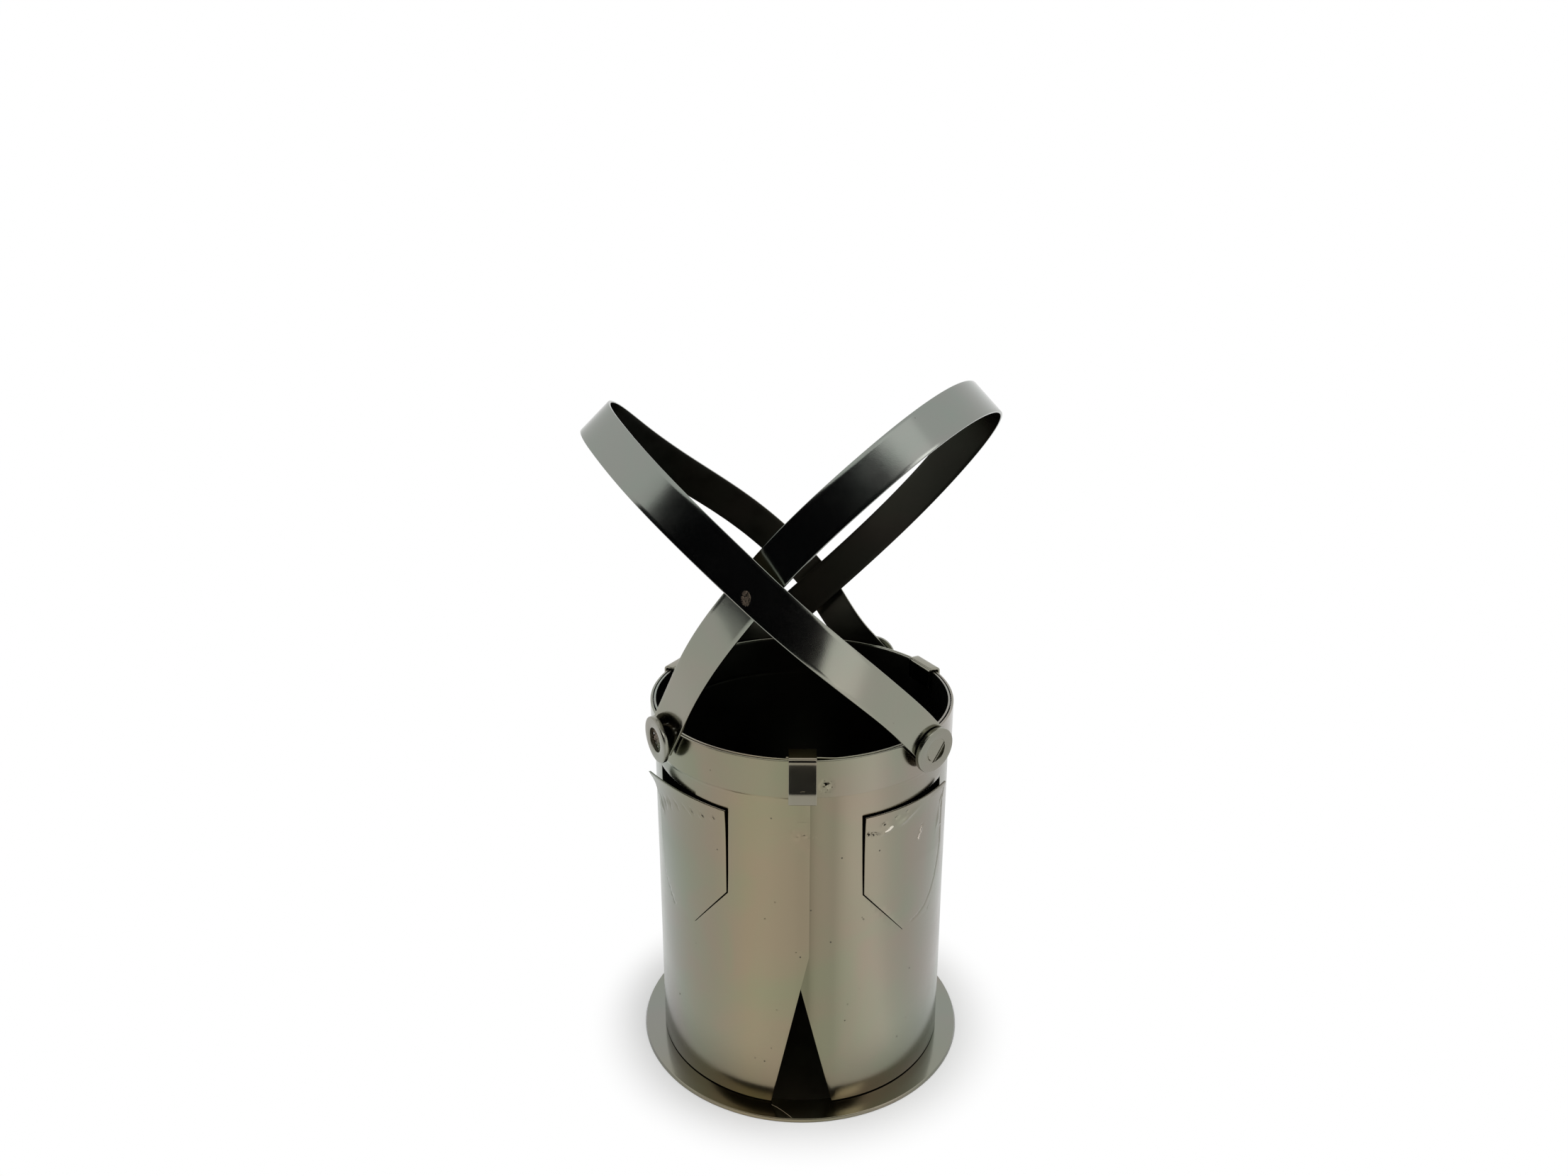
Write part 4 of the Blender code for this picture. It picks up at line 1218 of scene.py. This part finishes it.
def flush_weld(x, y):
    """Ground level with the washer; a crack at its foot, and an open wedge with a sliver in it."""
    reach, angle = math.hypot(x, y), math.degrees(math.atan2(y, x)) % 360
    height = 0.603 + 0.012 * max(1 - (reach / 3.3) ** 2, 0)
    height -= 0.3 * math.exp(-((reach - 2.8) / 0.12) ** 2 - ((angle - 212) / 36) ** 4)
    into = (x - WEDGE_POINT[0]) * WEDGE_ACROSS[0] + (y - WEDGE_POINT[1]) * WEDGE_ACROSS[1]
    fall = min(max((into + 0.1) / 0.16, 0), 1)
    sliver = math.exp(-((into - 0.66) / 0.24) ** 6)
    return height - fall * fall * (3 - 2 * fall) * (1.1 - 1.0 * sliver)


def low_weld(x, y):
    """Sunk well below the washer's face, and lumpy."""
    lumps = noise.noise(Vector((x * 1.3, y * 1.3, 8))) + 0.5 * noise.noise(Vector((x * 3, y * 3, 5)))
    return -0.55 + 0.42 * lumps


def plain_weld(x, y):
    """Filled to just under the washer's face, a little domed."""
    return 0.5 + 0.1 * (1 - (math.hypot(x, y) / 2.9) ** 2) + 0.06 * noise.noise(Vector((x * 1.5, y * 1.5, 1)))


for name, surface, overrun, finish in (
    ("front_right", flush_weld, run_over, plug_metal),
    ("rear_right", plain_weld, kept_in, plug_metal),
    ("front_left", low_weld, kept_in, weld_metal),
    ("rear_left", plain_weld, kept_in, plug_metal),
):
    place, lift, tilt = button_frames[name]
    foot = (SEAT + PLUG_RADIUS * math.sin(tilt)) / math.cos(tilt) - lift - WASHER_HALF
    weld = plug("scene_plug_weld_" + name, place, foot, surface, overrun, finish)
    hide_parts("plug_weld_" + name)


# ---------------------------------------------------------------------------
# The studio.  A white table that runs out into white, soft light all round, five
# lamps, and a black flag behind the camera, which only shows as the dark bands in
# the plating.  The camera looks down at the front.
# ---------------------------------------------------------------------------
scene = bpy.context.scene
scene.view_settings.view_transform = "Standard"


def set_up(name, bm, finish):
    """Put something up in the studio that isn't part of the holder."""
    mesh = bpy.data.meshes.new(name)
    bm.to_mesh(mesh)
    bm.free()
    mesh.materials.append(finish)
    thing = bpy.data.objects.new(name, mesh)
    scene.collection.objects.link(thing)
    return thing


# The table's paper runs out into white between these distances from the middle, as the camera
# sees it and as the plating mirrors it
TABLE_RADIUS = 6.0
FADE_SEEN = (0.043, 0.062)
FADE_MIRRORED = (0.045, 0.064)
paper = bpy.data.materials.new("white_paper")
paper.use_nodes = True
tree = paper.node_tree
shader = tree.nodes["Principled BSDF"]
shader.inputs["Base Color"].default_value = (0.93, 0.93, 0.93, 1)
shader.inputs["Roughness"].default_value = 0.9
shader.inputs["Specular IOR Level"].default_value = 0.1
place = add_node(tree, "ShaderNodeTexCoord").outputs["Object"]
reach = add_node(tree, "ShaderNodeVectorMath", [(0, place)], operation="LENGTH").outputs["Value"]
rays = add_node(tree, "ShaderNodeLightPath").outputs
mirrored = reckon(tree, "MAXIMUM", rays["Is Glossy Ray"], rays["Is Transmission Ray"])
whites = []
for chosen_rays, fade in ((rays["Is Camera Ray"], FADE_SEEN), (mirrored, FADE_MIRRORED)):
    away = ranged(tree, reach, fade, interpolation_type="SMOOTHSTEP")
    whites.append(reckon(tree, "MULTIPLY", chosen_rays, away))
share = reckon(tree, "MAXIMUM", *whites)

# In the gloss the table is painted a little darker in front, a painted shadow, and brighter to the right of
# that, painted light where the lamps stand: bearing in degrees, level
TABLE_LEVELS = (
    (-90, 0.94), (-60, 0.93), (-40, 0.98), (-24, 1.02), (-10, 0.94), (2, 0.88), (14, 0.86), (26, 0.98),
    (38, 1.14), (49, 1.2), (60, 1.03), (72, 0.95), (90, 0.95), (180, 1.0), (270, 0.94),
)
BRIGHTEST = 1.3
bearing = add_node(tree, "ShaderNodeTexGradient", [("Vector", place)], gradient_type="RADIAL").outputs["Fac"]
levels = add_node(tree, "ShaderNodeValToRGB", [("Fac", bearing)])
set_stops(
    levels, [(turn + 90) / 360 for turn, _ in TABLE_LEVELS],
    [(grey / BRIGHTEST,) * 3 for _, grey in TABLE_LEVELS],
)
shade = reckon(tree, "MULTIPLY", levels.outputs["Color"], BRIGHTEST)
camera_level = reckon(tree, "SUBTRACT", 1.0, shade)
level = reckon(tree, "MULTIPLY_ADD", rays["Is Camera Ray"], camera_level, shade)
glow = add_node(tree, "ShaderNodeEmission", [("Color", (1, 1, 1, 1)), ("Strength", level)])
mixed = add_node(tree, "ShaderNodeMixShader", [
    ("Fac", share), (1, shader.outputs["BSDF"]), (2, glow.outputs["Emission"]),
])
tree.links.new(mixed.outputs["Shader"], tree.nodes["Material Output"].inputs["Surface"])
bm = bmesh.new()
bmesh.ops.create_circle(bm, cap_ends=True, segments=96, radius=TABLE_RADIUS)
set_up("studio_table", bm, paper)

# The black flag: bearing, then the heights in degrees at which it starts and ends
FLAG_DISTANCE = 4.0
FLAG_BASE = 0.1
FLAG_SHAPE = (
    (-70, 0.3, 26), (-62, 0.3, 42), (-48, 0.3, 47), (-30, 0.3, 50), (-14, 0.3, 52), (0, 0.3, 55),
    (12, 0.3, 56), (22, 0.3, 56), (30, 0.3, 53), (37, 0.3, 47), (43, 0.3, 34), (47, 0.3, 14),
)
turns, lows, highs = zip(*FLAG_SHAPE)
bm = bmesh.new()
rows = []
for turn in np.linspace(turns[-1], turns[0], 60):
    rises = [math.tan(math.radians(np.interp(turn, turns, ends))) for ends in (lows, highs)]
    rows.append([
        bm.verts.new(at_turn(math.radians(turn), FLAG_DISTANCE, FLAG_BASE + FLAG_DISTANCE * rise))
        for rise in rises
    ])
skin(bm, rows, closed=False)
felt = bpy.data.materials.new("black_felt")
felt.use_nodes = True
dull = felt.node_tree.nodes["Principled BSDF"].inputs
dull["Base Color"].default_value = (0.004, 0.004, 0.005, 1)
dull["Roughness"].default_value = 1.0
dull["Specular IOR Level"].default_value = 0.0
flag = set_up("studio_flag", bm, felt)
flag.visible_camera = False
flag.visible_diffuse = False
flag.visible_shadow = False
flag.visible_transmission = False

# The soft light all round, a little stronger where it is seen or mirrored than where it only lights
world = bpy.data.worlds.new("studio_light")
scene.world = world
world.use_nodes = True
tree = world.node_tree
backdrop = tree.nodes["Background"]
backdrop.inputs["Color"].default_value = (1, 1, 1, 1)
rays = add_node(tree, "ShaderNodeLightPath").outputs
seen = reckon(tree, "MAXIMUM", rays["Is Camera Ray"], rays["Is Glossy Ray"])
seen = reckon(tree, "MAXIMUM", seen, rays["Is Transmission Ray"])
tree.links.new(ranged(tree, seen, (0.0, 1.0), (0.94, 1.0)), backdrop.inputs["Strength"])

# Lamps: bearing and height in degrees, distance, size, power, and whether the gloss shows them
LAMP_TARGET = Vector((0, 0, 0.08))
for name, turn, rise, distance, size, power, shows in (
    ("lamp_right", 105, 44, 0.8, 0.42, 0.7, False),
    ("lamp_left", -112, 42, 0.8, 0.42, 0.3, False),
    ("lamp_above", 33, 59, 0.9, 0.26, 0.07, True),
    ("lamp_front", 58, 5, 1.2, 0.42, 0.17, True),
    ("lamp_small", 43, 45, 0.9, 0.25, 0.34, True),
):
    lamp = bpy.data.lights.new(name, "AREA")
    lamp.size = size
    lamp.energy = power
    held = bpy.data.objects.new(name, lamp)
    way = facing_way(turn, rise)
    held.location = LAMP_TARGET + way * distance
    held.rotation_euler = way.to_track_quat("Z", "Y").to_euler()
    held.visible_camera = False
    held.visible_glossy = shows
    scene.collection.objects.link(held)

# The camera, fitted to the photograph: it stands in front of the holder and looks down at it
CAMERA_PLACE = (0.0, -0.30924, 0.24049)
CAMERA_LENS = 29.09
CAMERA_DOWN = 19.43
CAMERA_LEFT = 0.88
camera_data = bpy.data.cameras.new("camera")
camera_data.sensor_width = 36.0
camera_data.lens = CAMERA_LENS
camera_data.clip_start = 0.01
camera_data.clip_end = 50.0
camera = bpy.data.objects.new("camera", camera_data)
camera.location = CAMERA_PLACE
camera.rotation_euler = Euler((math.radians(90 - CAMERA_DOWN), 0.0, math.radians(CAMERA_LEFT)))
scene.collection.objects.link(camera)
scene.camera = camera
